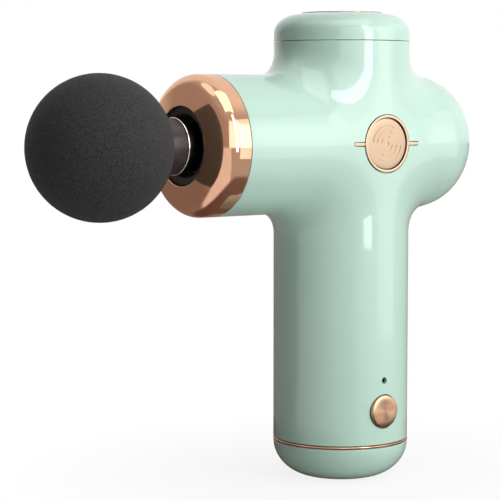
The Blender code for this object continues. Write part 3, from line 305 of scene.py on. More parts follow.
def bar(name, axis, radius, start, end, centre, steps=96):
    """A plain round bar along an axis, for cutting holes."""
    half_turn = {"X": (0, math.pi / 2, 0), "Y": (math.pi / 2, 0, 0), "Z": (0, 0, 0)}[axis]
    deselect()
    place = Vector(centre)
    place[AXIS_INDEX[axis]] = (start + end) / 2
    bpy.ops.mesh.primitive_cylinder_add(
        vertices=steps, radius=radius, depth=abs(end - start), location=place, rotation=half_turn
    )
    return place_here(named(name))


def block(name, corner, opposite):
    """A plain block between two corners."""
    deselect()
    centre = [(a + b) / 2 for a, b in zip(corner, opposite)]
    size = [abs(b - a) for a, b in zip(corner, opposite)]
    bpy.ops.mesh.primitive_cube_add(size=1.0, location=centre, scale=size)
    return place_here(named(name))


def bevel_along(piece, axis, radius, segments):
    """Rounds the edges of a block that run along one axis."""
    pick(piece)
    index = AXIS_INDEX[axis]
    bpy.ops.object.mode_set(mode="EDIT")
    select_where(piece, "edges", lambda e: runs_along(e, index))
    bpy.ops.mesh.bevel(offset=radius, segments=segments, affect="EDGES")
    bpy.ops.object.mode_set(mode="OBJECT")


def runs_along(edge, index):
    """Whether an edge is parallel to an axis."""
    span = edge.verts[0].co - edge.verts[1].co
    return abs(span[index]) > 0.99 * span.length


def finish_piece(piece, body, nodes, material):
    """Gives a piece its material and says what it stands for and moves with."""
    piece.data.materials.clear()
    piece.data.materials.append(material)
    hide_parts(*nodes)
    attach(piece, body)
    return piece


def ring_section(inner, outer, start, end):
    """The closed section of a plain ring."""
    return [(inner, start), (outer, start), (outer, end), (inner, end), (inner, start)]


def turned_piece(name, node, outline, axis, rounding, material, body="casing"):
    """A turned piece that stands for one frame node. rounding is (width, segments, angle)."""
    steps = bpy.context.scene.massage_gun_sizes.steps
    piece = turn(name, outline, axis, axis_centre(axis, middle(node).z), steps)
    round_edges(piece, *rounding)
    return finish_piece(piece, body, [node], material)


# ---------------------------------------------------------------- node helpers

def feed(tree, target, value):
    """Gives an input a fixed value, or joins it to the socket that feeds it."""
    if isinstance(value, bpy.types.NodeSocket):
        tree.links.new(value, target)
    else:
        target.default_value = value


def add_node(tree, kind, inputs=None, **settings):
    """Adds a shader node. Each input is a fixed value or the socket that feeds it."""
    node = tree.nodes.new("ShaderNode" + kind)
    for key, value in settings.items():
        setattr(node, key, value)
    for key, value in (inputs or {}).items():
        feed(tree, node.inputs[key], value)
    return node


def object_place(tree):
    """The place of a point in the object's own space."""
    return add_node(tree, "TexCoord").outputs["Object"]


def maths(tree, operation, *values):
    """The value of a sum on numbers."""
    return add_node(tree, "Math", dict(enumerate(values)), operation=operation).outputs["Value"]


def vector_maths(tree, operation, *values, output="Vector"):
    """The vector or value of a sum on vectors."""
    return add_node(tree, "VectorMath", dict(enumerate(values)), operation=operation).outputs[output]


def noise(tree, place, scale, detail, roughness=0.5, distortion=0.0):
    """The value of a noise texture."""
    values = {"Vector": place, "Scale": scale, "Detail": detail, "Roughness": roughness}
    return add_node(tree, "TexNoise", {**values, "Distortion": distortion}).outputs["Fac"]


def mapped(tree, value, from_min=0.0, from_max=1.0, to_min=0.0, to_max=1.0, **settings):
    """A value moved from one range to another."""
    limits = {"Value": value, "From Min": from_min, "From Max": from_max, "To Min": to_min, "To Max": to_max}
    return add_node(tree, "MapRange", limits, **settings).outputs["Result"]


def blend(tree, mask, under, over, **settings):
    """Mixes a colour over another, each a socket or a fixed colour."""
    colours = {"Factor": mask, "A": under, "B": over}
    return add_node(tree, "Mix", colours, data_type="RGBA", **settings).outputs["Result"]


def rgba(colour_value, factor=1.0):
    """A colour with alpha, lighter or darker by a factor."""
    return (*[min(1.0, channel * factor) for channel in colour_value], 1.0)


def grey(value):
    """A grey with alpha."""
    return (value, value, value, 1.0)


# ---------------------------------------------------------------- shared effects

def new_group(name, inputs, *outputs):
    """A shader node group, with its inputs' sockets and the sockets that its results go to."""
    group = bpy.data.node_groups.new(name, "ShaderNodeTree")
    for label, default in inputs.items():
        kind = "NodeSocketVector" if isinstance(default, tuple) else "NodeSocketFloat"
        socket = group.interface.new_socket(label, in_out="INPUT", socket_type=kind)
        socket.default_value = default
    for label in outputs:
        group.interface.new_socket(label, in_out="OUTPUT", socket_type="NodeSocketFloat")
    return group, group.nodes.new("NodeGroupInput").outputs, group.nodes.new("NodeGroupOutput").inputs


def moulded_skin(name):
    """Faint ripple and grain of a moulded and lacquered surface."""
    inputs = {"Ripple Scale": 220.0, "Grain Scale": 2600.0, "Grain Share": 0.3}
    group, given, result = new_group(name, inputs, "Height", "Tone")
    place = object_place(group)
    ripple = noise(group, place, given["Ripple Scale"], 2.0, 0.45)
    grain = noise(group, place, given["Grain Scale"], 3.0, 0.6)
    shares = {"Factor": given["Grain Share"], "A": ripple, "B": grain}
    feed(group, result["Height"], add_node(group, "Mix", shares, data_type="FLOAT").outputs["Result"])
    feed(group, result["Tone"], noise(group, place, 38.0, 3.0))
    return group


def handling_marks(name):
    """Soft smears left by handling, as a mask."""
    group, given, result = new_group(name, {"Scale": 45.0, "Threshold": 0.52}, "Mask")
    smear = noise(group, object_place(group), given["Scale"], 5.0, 0.62, 0.8)
    feed(group, result["Mask"], mapped(group, smear, given["Threshold"], 0.75))
    return group


def hairlines(name):
    """Fine scratches drawn out along one direction."""
    inputs = {"Stretch": (40.0, 3200.0, 3200.0), "Coverage": 0.55}
    group, given, result = new_group(name, inputs, "Height", "Mask")
    drawn = vector_maths(group, "MULTIPLY", object_place(group), given["Stretch"])
    lines = noise(group, drawn, 1.0, 4.0, 0.65)
    feed(group, result["Height"], lines)
    feed(group, result["Mask"], mapped(group, lines, given["Coverage"], 0.8))
    return group


def turned_grooves(name):
    """Rings left by a lathe round an axis through Centre. Across is 0 along the axis and 1 across it."""
    inputs = {"Centre": (0.0, 0.0, 0.0), "Across": (1.0, 0.0, 1.0), "Pitch": 0.0003}
    group, given, result = new_group(name, inputs, "Height", "Distance")
    moved = vector_maths(group, "SUBTRACT", object_place(group), given["Centre"])
    flat = vector_maths(group, "MULTIPLY", moved, given["Across"])
    size = vector_maths(group, "LENGTH", flat, output="Value")
    rings = {"W": maths(group, "DIVIDE", size, given["Pitch"]), "Scale": 1.0, "Detail": 3.0}
    uneven = add_node(group, "TexNoise", {**rings, "Roughness": 0.7}, noise_dimensions="1D")
    feed(group, result["Height"], uneven.outputs["Fac"])
    feed(group, result["Distance"], size)
    return group


EFFECTS = {
    "skin": ("Moulded skin", moulded_skin),
    "marks": ("Handling marks", handling_marks),
    "lines": ("Hairlines", hairlines),
    "grooves": ("Turned grooves", turned_grooves),
}


def place_effect(tree, kind, *values):
    """Puts a shared effect into a material, with values in the order of its inputs."""
    name, make = EFFECTS[kind]
    node = tree.nodes.new("ShaderNodeGroup")
    node.node_tree = bpy.data.node_groups.get(name) or make(name)
    for socket, value in zip(node.inputs, values):
        socket.default_value = value
    return node.outputs


# ---------------------------------------------------------------- materials

def new_material(name, values):
    """A material whose Principled shader has these values on its own sockets."""
    material = bpy.data.materials.new(name)
    material.use_nodes = True
    shader = material.node_tree.nodes["Principled BSDF"]
    for key, value in values.items():
        shader.inputs[key].default_value = value
    return material, material.node_tree, shader


def dress(tree, shader, base, roughness, height, depth):
    """Feeds the shader's colour and roughness, and its normal from a relief, depth millimetres deep."""
    relief = add_node(tree, "Bump", {"Height": height, "Strength": 1.0, "Distance": depth * MM})
    feed(tree, shader.inputs["Base Color"], base)
    feed(tree, shader.inputs["Roughness"], roughness)
    feed(tree, shader.inputs["Normal"], relief.outputs["Normal"])


def layered(name, shader_values, effects, tones, roughness, relief):
    """A material of shared effects, made the first time that it is asked for.

    effects gives each effect's values. tones and roughness are (effect, output, first, second), and
    relief is (effect, depth in millimetres).
    """
    if name in bpy.data.materials:
        return bpy.data.materials[name]
    material, tree, shader = new_material(name, shader_values)
    placed = {kind: place_effect(tree, kind, *values) for kind, values in effects.items()}
    base = blend(tree, placed[tones[0]][tones[1]], *tones[2:])
    start, end = roughness[2:]
    rough = mapped(tree, placed[roughness[0]][roughness[1]], to_min=start, to_max=end)
    dress(tree, shader, base, rough, placed[relief[0]]["Height"], relief[1])
    return material


def range_of(colour_value, first, second):
    """Two tones of a colour."""
    return rgba(colour_value, first), rgba(colour_value, second)


def mint_gloss(finish):
    return layered(
        "Mint gloss lacquer",
        {"Coat Weight": 1.0, "Coat Roughness": 0.03, "Coat IOR": 1.5, "IOR": 1.48, "Specular IOR Level": 0.6},
        {"skin": (160.0, 2400.0, 0.12), "marks": (32.0, 0.5)},
        ("skin", "Tone", *range_of(finish.mint, 0.97, 1.03)), ("marks", "Mask", 0.46, 0.52), ("skin", 0.012),
    )


def polished_rose_gold(finish):
    return layered(
        "Polished rose gold", {"Metallic": 0.86, "Specular Tint": (1.0, 0.93, 0.86, 1.0)},
        {"lines": ((60.0, 900.0, 900.0), 0.62), "marks": (90.0, 0.5)},
        ("marks", "Mask", *range_of(finish.rose_gold, 1.0, 0.94)), ("marks", "Mask", 0.07, 0.13),
        ("lines", 0.002),
    )


def satin_pale_gold(finish):
    return layered(
        "Satin pale gold", {"Metallic": 1.0}, {"skin": (500.0, 9000.0, 0.7)},
        ("skin", "Tone", *range_of(finish.pale_gold, 0.97, 1.04)), ("skin", "Height", 0.30, 0.46),
        ("skin", 0.006),
    )


def drawn_metal(name, stretch, coverage, tones, roughness):
    """A metal with fine lines drawn out along one direction."""
    return layered(
        name, {"Metallic": 1.0}, {"lines": (stretch, coverage)},
        ("lines", "Mask", *tones), ("lines", "Mask", *roughness), ("lines", 0.002),
    )


def polished_pale_gold(finish):
    tones = range_of(finish.pale_gold, 1.0, 0.85)
    return drawn_metal("Polished pale gold", (900.0, 60.0, 900.0), 0.6, tones, (0.14, 0.22))


def bronze_trim(finish):
    tones = range_of(finish.bronze_trim, 1.1, 0.8)
    return drawn_metal("Bronze trim", (500.0, 500.0, 6000.0), 0.5, tones, (0.14, 0.26))


def chrome():
    tones = (grey(0.92), (0.80, 0.80, 0.81, 1.0))
    return drawn_metal("Bright chrome", (4000.0, 300.0, 300.0), 0.6, tones, (0.05, 0.14))


def spun_rose_gold(finish):
    """Turned rings and anisotropic spun metal, with a painted bow-tie highlight in the base colour."""
    material, tree, shader = new_material("Spun rose gold", {"Metallic": 1.0, "Anisotropic": 0.85})
    centre, across = middle("power_button"), (1.0, 0.0, 1.0)
    height = place_effect(tree, "grooves", centre, across, 0.09 * MM)["Height"]
    # Painted highlight: the base colour is a lighter copy along one slant through the centre and a darker
    # copy across it, a bow-tie glint fixed to the button whatever the lights do.
    offset = vector_maths(tree, "SUBTRACT", object_place(tree), centre)
    outward = vector_maths(tree, "NORMALIZE", vector_maths(tree, "MULTIPLY", offset, across))
    along = vector_maths(tree, "DOT_PRODUCT", outward, (-0.62, 0.0, 0.78), output="Value")
    painted_glint_mask = mapped(tree, maths(tree, "ABSOLUTE", along), 0.35, 1.0, interpolation_type="SMOOTHSTEP")
    dark = blend(tree, height, *range_of(finish.rose_gold, 0.48, 0.86))
    light = blend(tree, height, *range_of(finish.rose_gold, 1.0, 1.7))
    rough = mapped(tree, height, to_min=0.22, to_max=0.36)
    dress(tree, shader, blend(tree, painted_glint_mask, dark, light), rough, height, 0.006)
    tangent = add_node(tree, "Tangent", direction_type="RADIAL", axis="Y")
    feed(tree, shader.inputs["Tangent"], tangent.outputs["Tangent"])
    return material


def black_foam(finish):
    """Dense foam: fine open cells, a speckle and faint patches."""
    material, tree, shader = new_material(
        "Dense black foam", {"Sheen Weight": 0.03, "Sheen Roughness": 0.5, "Specular IOR Level": 0.28}
    )
    place = object_place(tree)
    cells = add_node(tree, "TexVoronoi", {"Vector": place, "Scale": 2300.0, "Randomness": 1.0})
    patches = add_node(tree, "TexNoise", {"Vector": place, "Scale": 240.0, "Detail": 3.0})
    speckle = noise(tree, place, 1500.0, 4.0, 0.72)
    grain = blend(tree, mapped(tree, speckle, 0.36, 0.66), *range_of(finish.foam, 0.55, 1.75))
    base = blend(tree, 0.25, grain, patches.outputs["Color"], blend_type="MULTIPLY")
    relief = maths(tree, "ADD", cells.outputs["Distance"], speckle)
    dress(tree, shader, base, mapped(tree, speckle, to_min=0.72, to_max=0.95), relief, 0.10)
    return material


def satin_black(finish):
    return layered(
        "Satin black plastic", {"IOR": 1.5}, {"skin": (700.0, 6000.0, 0.75), "marks": (120.0, 0.5)},
        ("skin", "Tone", *range_of(finish.soft_black, 0.8, 1.25)), ("marks", "Mask", 0.30, 0.42),
        ("skin", 0.012),
    )


def dull_skin(name, shader_values, effect, tones, roughness, depth):
    """A moulded surface whose colour and roughness follow its own skin."""
    return layered(
        name, shader_values, {"skin": effect}, ("skin", "Tone", *tones), ("skin", "Height", *roughness),
        ("skin", depth),
    )


def black_rubber(finish):
    tones = range_of(finish.rubber, 0.8, 1.5)
    shader_values = {"IOR": 1.52, "Sheen Weight": 0.05}
    return dull_skin("Black rubber", shader_values, (900.0, 5200.0, 0.6), tones, (0.42, 0.6), 0.02)


def smoked_lens():
    tones = ((0.002, 0.004, 0.0035, 1.0), (0.005, 0.010, 0.009, 1.0))
    shader_values = {"IOR": 1.5, "Specular IOR Level": 0.15}
    return dull_skin("Smoked lens", shader_values, (1500.0, 9000.0, 0.4), tones, (0.2, 0.32), 0.003)


def moulded_plastic(name, base, rough):
    """A dull inner moulding."""
    tones = range_of(base, 0.85, 1.2)
    roughness = (rough * 0.85, rough * 1.2)
    return dull_skin(name, {"IOR": 1.5}, (400.0, 4200.0, 0.55), tones, roughness, 0.015)


def machined_metal(name, base, rough, across, centre, pitch=0.25 * MM):
    """A turned or ground metal with rings round its own axis."""
    return layered(
        name, {"Metallic": 1.0}, {"grooves": (centre, across, pitch), "marks": (140.0, 0.48)},
        ("marks", "Mask", *range_of(base, 1.0, 0.72)), ("grooves", "Height", rough * 0.8, rough * 1.3),
        ("grooves", 0.008),
    )


def wrapped_cell():
    """Shrink wrap with faint lengthwise wrinkles."""
    return layered(
        "Cell wrap", {"IOR": 1.5, "Coat Weight": 0.3, "Coat Roughness": 0.2},
        {"lines": ((700.0, 700.0, 60.0), 0.55)},
        ("lines", "Mask", (0.03, 0.11, 0.27, 1.0), (0.06, 0.18, 0.38, 1.0)), ("lines", "Mask", 0.3, 0.42),
        ("lines", 0.03),
    )


def wound_copper():
    """Enamelled wire laid in turns up the stator."""
    material, tree, shader = new_material(
        "Wound copper", {"Metallic": 1.0, "Coat Weight": 0.5, "Coat Roughness": 0.15}
    )
    waves = {"Vector": object_place(tree), "Scale": 420.0, "Distortion": 0.6, "Detail": 1.0}
    wires = add_node(tree, "TexWave", waves, bands_direction="Z").outputs["Fac"]
    base = blend(tree, wires, (0.22, 0.07, 0.03, 1.0), (0.78, 0.36, 0.18, 1.0))
    dress(tree, shader, base, mapped(tree, wires, to_min=0.5, to_max=0.25), wires, 0.12)
    return material


def circuit_board():
    """Green solder mask over fine copper tracks and pads."""
    material, tree, shader = new_material(
        "Circuit board", {"IOR": 1.5, "Coat Weight": 0.4, "Coat Roughness": 0.12}
    )
    place = object_place(tree)
    bricks = {"Vector": place, "Scale": 260.0, "Mortar Size": 0.035, "Mortar Smooth": 0.2}
    tracks = add_node(
        tree, "TexBrick", {**bricks, "Color1": grey(0.0), "Color2": grey(0.0), "Mortar": grey(1.0)}
    ).outputs["Fac"]
    pads = add_node(tree, "TexVoronoi", {"Vector": place, "Scale": 420.0, "Randomness": 0.2})
    spots = maths(tree, "LESS_THAN", pads.outputs["Distance"], 0.17)
    lined = blend(tree, tracks, (0.010, 0.10, 0.045, 1.0), (0.03, 0.20, 0.09, 1.0))
    feed(tree, shader.inputs["Metallic"], spots)
    base = blend(tree, spots, lined, (0.62, 0.62, 0.58, 1.0))
    dress(tree, shader, base, mapped(tree, tracks, to_min=0.35, to_max=0.5), tracks, 0.03)
    return material


def plated_contacts():
    """A black tongue with a row of plated contacts."""
    material, tree, shader = new_material("Plated contacts", {})
    waves = {"Vector": object_place(tree), "Scale": 318.0, "Distortion": 0.0}
    fingers = add_node(tree, "TexWave", waves, bands_direction="Y").outputs["Fac"]
    plated = maths(tree, "GREATER_THAN", fingers, 0.6)
    feed(tree, shader.inputs["Metallic"], plated)
    base = blend(tree, plated, grey(0.01), (0.80, 0.56, 0.24, 1.0))
    dress(tree, shader, base, mapped(tree, fingers, to_min=0.5, to_max=0.25), plated, 0.03)
    return material


# ---------------------------------------------------------------- housing

SMALLEST_OPENING = 0.03
BEND_SHARE = 1 - math.sqrt(0.5)
ARM_STEP = 0.05
CLOSE = 1e-4
BEND_ROWS = 12
HALVINGS = 34


def rolled_ball(lean, sizes):
    """The radius of the ball rolled in the corner: it grows from the sides to the front.

    lean is 0 where handle and barrel cross at a right angle, and 1 where they run into each other.
    """
    side_reach = HANDLE_RADIUS + sizes.fillet
    along = side_reach + (sizes.front_reach - side_reach) * lean
    return along / math.sqrt(max(1.0 - lean, SMALLEST_OPENING)) - HANDLE_RADIUS


def body_gap(point, sizes):
    """How far a point is outside the crossed handle and barrel with a fillet rolled between them."""
    x, y, z = point
    up = z - BARREL_Z
    handle_reach = max(math.hypot(x, y), 1e-9)
    barrel_reach = max(math.hypot(y, up), 1e-9)
    handle_gap = handle_reach - HANDLE_RADIUS
    barrel_gap = barrel_reach - BARREL_RADIUS
    dome_start = TIP_X - sizes.dome_length
    if x > dome_start:
        along = (x - dome_start) / sizes.dome_length
        across = barrel_reach / BARREL_RADIUS
        size = (along**sizes.dome_power + across**sizes.dome_power) ** (1.0 / sizes.dome_power)
        barrel_gap = (size - 1.0) * BARREL_RADIUS
    lean = y * y / (handle_reach * barrel_reach)
    spread = 1.0 - lean * lean
    if spread < 1e-6:
        return min(handle_gap, barrel_gap)
    ball = rolled_ball(lean, sizes)
    to_handle = ((ball - handle_gap) - lean * (ball - barrel_gap)) / spread
    to_barrel = ((ball - barrel_gap) - lean * (ball - handle_gap)) / spread
    if to_handle <= 0 or to_barrel <= 0:
        return min(handle_gap, barrel_gap)
    return ball - math.sqrt(to_handle**2 + to_barrel**2 + 2 * lean * to_handle * to_barrel)


def surface_point(start, direction, sizes):
    """The point of the body's surface met from start along a direction, found by halving."""
    near, far = 0.0, 2 * (HANDLE_RADIUS + BARREL_RADIUS)
    for _ in range(HALVINGS):
        half = (near + far) / 2
        if body_gap(start + half * direction, sizes) < 0:
            near = half
        else:
            far = half
    return start + near * direction


def levels(start, bend_end, end, end_rows):
    """Places along an arm: closely spaced through the fillet, then wider to the end."""
    places = [start + (bend_end - start) * (row + 1) / BEND_ROWS for row in range(BEND_ROWS)]
    return places + [bend_end + (end - bend_end) * (row + 1) / end_rows for row in range(end_rows)]


def dome_levels(start, bend_end, dome_rows, power):
    """Places along the rear arm, closer together towards the tip of the dome."""
    places = levels(start, bend_end, bend_end, 0)
    for row in range(dome_rows):
        angle = math.pi / 2 * (row + 1) / dome_rows
        places.append(bend_end + (TIP_X - bend_end) * math.sin(angle) ** (2 / power))
    return places


def lay_on_body(u, v, arms, sizes):
    """Where a point of the flat plus-shaped sheet goes on the front half of the body."""
    middle_reach_x = HANDLE_RADIUS + sizes.fillet * BEND_SHARE
    middle_reach_z = BARREL_RADIUS + sizes.fillet * BEND_SHARE
    across = min(1.0, max(-1.0, u))
    upward = min(1.0, max(-1.0, v))
    if abs(v) > 1 + CLOSE:
        places = arms["up"] if v > 0 else arms["down"]
        z = places[round((abs(v) - 1) / ARM_STEP) - 1]
        angle = math.pi / 2 * across
        direction = Vector((math.sin(angle), -math.cos(angle), 0.0))
        return surface_point(Vector((0.0, 0.0, z)), direction, sizes)
    if abs(u) > 1 + CLOSE:
        places = arms["rear"] if u > 0 else arms["nose"]
        x = places[round((abs(u) - 1) / ARM_STEP) - 1]
        if x > TIP_X - 1e-7:
            return Vector((TIP_X, 0.0, BARREL_Z))
        angle = math.pi / 2 * upward
        direction = Vector((0.0, -math.cos(angle), math.sin(angle)))
        return surface_point(Vector((x, 0.0, BARREL_Z)), direction, sizes)
    x = middle_reach_x * math.sin(math.pi / 2 * across)
    z = BARREL_Z + middle_reach_z * math.sin(math.pi / 2 * upward)
    if abs(abs(u) - 1) < CLOSE and abs(abs(v) - 1) < CLOSE:
        return Vector((x, 0.0, z))
    return surface_point(Vector((x, 0.0, z)), Vector((0.0, -1.0, 0.0)), sizes)


def on_side(place, index, sign):
    """Whether a point of the flat sheet is on one side of its middle square."""
    return abs(place[index] - sign) < CLOSE and abs(place[1 - index]) < 1 + CLOSE


def make_shell(sizes):
    """The cross-shaped shell, from a flat plus-shaped sheet that is laid on the body and mirrored."""
    fillet_x = HANDLE_RADIUS + sizes.fillet
    fillet_z = BARREL_RADIUS + sizes.fillet
    start_x = HANDLE_RADIUS + sizes.fillet * BEND_SHARE
    start_z = BARREL_RADIUS + sizes.fillet * BEND_SHARE
    arms = {
        "up": levels(BARREL_Z + start_z, BARREL_Z + fillet_z, BODY_TOP_Z, 2),
        "down": levels(BARREL_Z - start_z, BARREL_Z - fillet_z, BODY_BOTTOM_Z, 14),
        "nose": levels(-start_x, -fillet_x, NOSE_X, 8),
        "rear": dome_levels(start_x, fillet_x, 24, sizes.dome_power),
    }
    deselect()
    rows = sizes.half_steps
    bpy.ops.mesh.primitive_grid_add(x_subdivisions=rows, y_subdivisions=rows, size=2.0)
    shell = named("housing_shell")
    bpy.ops.object.mode_set(mode="EDIT")
    for arm, index, sign in (("up", 1, 1), ("down", 1, -1), ("nose", 0, -1), ("rear", 0, 1)):
        select_where(shell, "edges", lambda e: all(on_side(v.co, index, sign) for v in e.verts))
        step = Vector((0.0, 0.0, 0.0))
        step[index] = sign * ARM_STEP
        for _ in arms[arm]:
            bpy.ops.mesh.extrude_region_move(TRANSFORM_OT_translate={"value": step})
    bpy.ops.object.mode_set(mode="OBJECT")
    for vertex in shell.data.vertices:
        vertex.co = lay_on_body(vertex.co.x, vertex.co.y, arms, sizes)
    apply_modifier(
        shell, "Other half", "MIRROR", use_axis=(False, True, False), use_mirror_merge=True,
        merge_threshold=0.002 * MM,
    )
    bpy.ops.object.mode_set(mode="EDIT")
    clean_up()
    bpy.ops.object.mode_set(mode="OBJECT")
    apply_modifier(
        shell, "Wall", "SOLIDIFY", thickness=sizes.wall, offset=-1.0, use_even_offset=True,
        use_quality_normals=True,
    )
    apply_modifier(
        shell, "Rounded rims", "BEVEL", width=sizes.edge, segments=2, limit_method="ANGLE",
        angle_limit=math.radians(60),
    )
    return shell


class MASSAGEGUN_OT_housing(bpy.types.Operator):
    """Models the one-piece cross-shaped shell with its holes and its badge seat"""

    bl_idname = "massage_gun.housing"
    bl_label = "Housing"

    def execute(self, context):
        sizes = context.scene.massage_gun_sizes
        finish = context.scene.massage_gun_finish
        shell = make_shell(sizes)
        outside = -HANDLE_RADIUS - 4 * MM
        seam = sizes.seam
        badge_z = middle("badge_rim").z
        seat_y = high("badge_rim").y + seam
        badge_reach = reach("badge_disc", "Y") + 2 * seam + sizes.badge_rim
        cut(shell, bar("seat", "Y", badge_reach + 2 * seam, outside, seat_y, (0, 0, badge_z), 128))
        half_height = sizes.badge_bar + 2 * seam
        slot_reach = high("badge_rim").x + seam
        slot = block(
            "slot", (-slot_reach, outside, badge_z - half_height), (slot_reach, seat_y, badge_z + half_height)
        )
        bevel_along(slot, "Y", half_height * 0.98, 8)
        cut(shell, slot)
        button_reach = reach("power_button", "Y", low("power_button").y) + 0.2 * MM
        inside = -HANDLE_RADIUS + 3 * sizes.wall
        cut(shell, bar("button_hole", "Y", button_reach, outside, inside, (0, 0, middle("power_button").z)))
        lamp_reach = reach("status_lamp", "Y") + seam
        cut(shell, bar("lamp_hole", "Y", lamp_reach, outside, inside, (0, 0, middle("status_lamp").z), 48))
        lowest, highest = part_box("charging_port")
        margin = 0.5 * MM
        opening = block(
            "port_opening",
            (highest.x - 4 * MM, lowest.y - margin, lowest.z - margin),
            (HANDLE_RADIUS + 4 * MM, highest.y + margin, highest.z + margin),
        )
        bevel_along(opening, "X", (highest.z - lowest.z) * 0.5, 10)
        cut(shell, opening)
        smooth(shell, 32.0)
        finish_piece(shell, "casing", ["main_housing"], mint_gloss(finish))
        return {"FINISHED"}


# ---------------------------------------------------------------- caps and trim

PLATE_RADIUS = 13.0 * MM
SPIGOT_PLAY = 0.4 * MM
SPIGOT_WALL = 2 * MM


def make_base(sizes, finish):
    """The rounded base cap with its spigot, and the ring above it."""
    shoulder = low("bottom_trim_ring").z - sizes.seam
    corner = HANDLE_RADIUS - sizes.base_flat
    top = high("bottom_cap").z
    spigot = reach("bottom_cap", "Z", top) + SPIGOT_PLAY
    inner = spigot - SPIGOT_WALL
    wall = sizes.wall
    outline = [(0.0, wall), (sizes.base_flat, wall)]
    outline += arc((sizes.base_flat, shoulder), (corner - wall, shoulder - wall), -80, -15, 12)
    outline += [(inner, shoulder - 1.5 * MM), (inner, top), (spigot, top), (spigot, shoulder)]
    outline += arc((sizes.base_flat, shoulder), (corner, shoulder), 0, -90, 40)
    outline += [(0.0, 0.0)]
    turned_piece("base_cap", "bottom_cap", outline, "Z", (sizes.edge,), mint_gloss(finish))
    bottom, upper = low("bottom_trim_ring").z, high("bottom_trim_ring").z
    outline = ring_section(HANDLE_RADIUS - wall, reach("bottom_trim_ring", "Z"), bottom, upper)
    turned_piece(
        "base_trim_ring", "bottom_trim_ring", outline, "Z", (0.2 * MM, 4),
        polished_rose_gold(finish),
    )


def make_top(sizes, finish):
    """The top cap with its rounded shoulder, and the metal plate in its top."""
    bottom = BODY_TOP_Z + sizes.seam
    top = high("top_cap").z
    corner = sizes.shoulder
    plate_radius = min(reach("top_plate", "Z"), PLATE_RADIUS)
    seat = plate_radius + sizes.seam
    seat_floor = low("top_plate").z - sizes.seam
    spigot_end = low("top_cap").z
    spigot = HANDLE_RADIUS - sizes.wall - SPIGOT_PLAY
    inner = spigot - SPIGOT_WALL
    outline = [(0.0, seat_floor), (seat, seat_floor), (seat, top)]
    shoulder_centre = (HANDLE_RADIUS - sizes.shoulder_width, top - corner - 0.35 * MM)
    outline += arc(shoulder_centre, (sizes.shoulder_width, corner), 90, 0, 30)
    outline += [(HANDLE_RADIUS, bottom), (spigot, bottom), (spigot, spigot_end), (inner, spigot_end)]
    outline += [(inner, seat_floor - sizes.wall - 2 * MM), (inner - 2 * MM, seat_floor - sizes.wall)]
    outline += [(0.0, seat_floor - sizes.wall)]
    turned_piece("crown_cap", "top_cap", outline, "Z", (sizes.edge,), mint_gloss(finish))
    plate_low, plate_high = low("top_plate").z, high("top_plate").z - 0.22 * MM
    dish = 0.12 * MM
    outline = [(0.0, plate_low), (plate_radius, plate_low), (plate_radius, plate_high)]
    outline += [(plate_radius - 1.1 * MM, plate_high), (plate_radius - 1.4 * MM, plate_high - dish)]
    outline += [(0.0, plate_high - dish)]
    turned_piece(
        "crown_plate", "top_plate", outline, "Z", (0.12 * MM, 3, 20.0),
        bronze_trim(finish),
    )


class MASSAGEGUN_OT_caps(bpy.types.Operator):
    """Models the base cap, its thin trim ring, the top cap and the plate let into it"""

    bl_idname = "massage_gun.caps"
    bl_label = "Caps and trim"

    def execute(self, context):
        sizes = context.scene.massage_gun_sizes
        finish = context.scene.massage_gun_finish
        make_base(sizes, finish)
        make_top(sizes, finish)
        return {"FINISHED"}


# ---------------------------------------------------------------- nose

NOSE_HOLE = 12.3 * MM
COLLAR_BORE = 9.5 * MM
FLANGE_WIDTH = 1.5 * MM


def make_collar(sizes, finish):
    """The recessed rubber collar, with a soft rib inside its mouth."""
    front, back = low("nose_collar").x, high("nose_collar").x
    flange = reach("nose_collar", "X")
    inner, outer = COLLAR_BORE, NOSE_HOLE - sizes.seam
    step = back - FLANGE_WIDTH
    outline = [(inner, back), (flange, back), (flange, step), (outer, step), (outer, front)]
    outline += [(inner + 0.7 * MM, front), (inner, front + 0.7 * MM)]
    outline += [(inner, front + 1.6 * MM), (inner + 0.25 * MM, front + 1.9 * MM)]
    outline += [(inner, front + 2.2 * MM), (inner, back)]
    turned_piece(
        "nose_gaiter", "nose_collar", outline, "X", (0.2 * MM, 3, 30.0),
        black_rubber(finish),
    )


class MASSAGEGUN_OT_nose(bpy.types.Operator):
    """Models the polished nose ring and the rubber collar in its hole"""

    bl_idname = "massage_gun.nose"
    bl_label = "Nose ring and collar"

    def execute(self, context):
        sizes = context.scene.massage_gun_sizes
        finish = context.scene.massage_gun_finish
        corner = sizes.nose_corner
        front, back = low("nose_ring").x, NOSE_X - sizes.seam
        inside_end = high("nose_ring").x
        spigot = BARREL_RADIUS - sizes.wall - SPIGOT_PLAY
        flange = reach("nose_collar", "X") + sizes.seam
        step = high("nose_collar").x - FLANGE_WIDTH - sizes.seam
        outline = [(spigot, inside_end), (spigot, back), (BARREL_RADIUS, back)]
        outline += arc((BARREL_RADIUS - corner, NOSE_X - sizes.nose_band), (corner, corner), 0, -75, 24)
        outline += [(NOSE_HOLE, front), (NOSE_HOLE, step), (flange, step), (flange, inside_end)]
        outline += [(spigot, inside_end)]
        turned_piece(
            "nose_bezel", "nose_ring", outline, "X", (0.3 * MM, 4, 32.0),
            polished_rose_gold(finish),
        )
        make_collar(sizes, finish)
        return {"FINISHED"}


# ---------------------------------------------------------------- massage head

BALL_BORE = 7.0 * MM
BALL_BORE_DEPTH = 17.7 * MM
CORE_RADIUS = 6.7 * MM
POST_RADIUS = 4.9 * MM
POST_CHAMFER = 0.8 * MM
SEAL_WIRE = 0.52 * MM


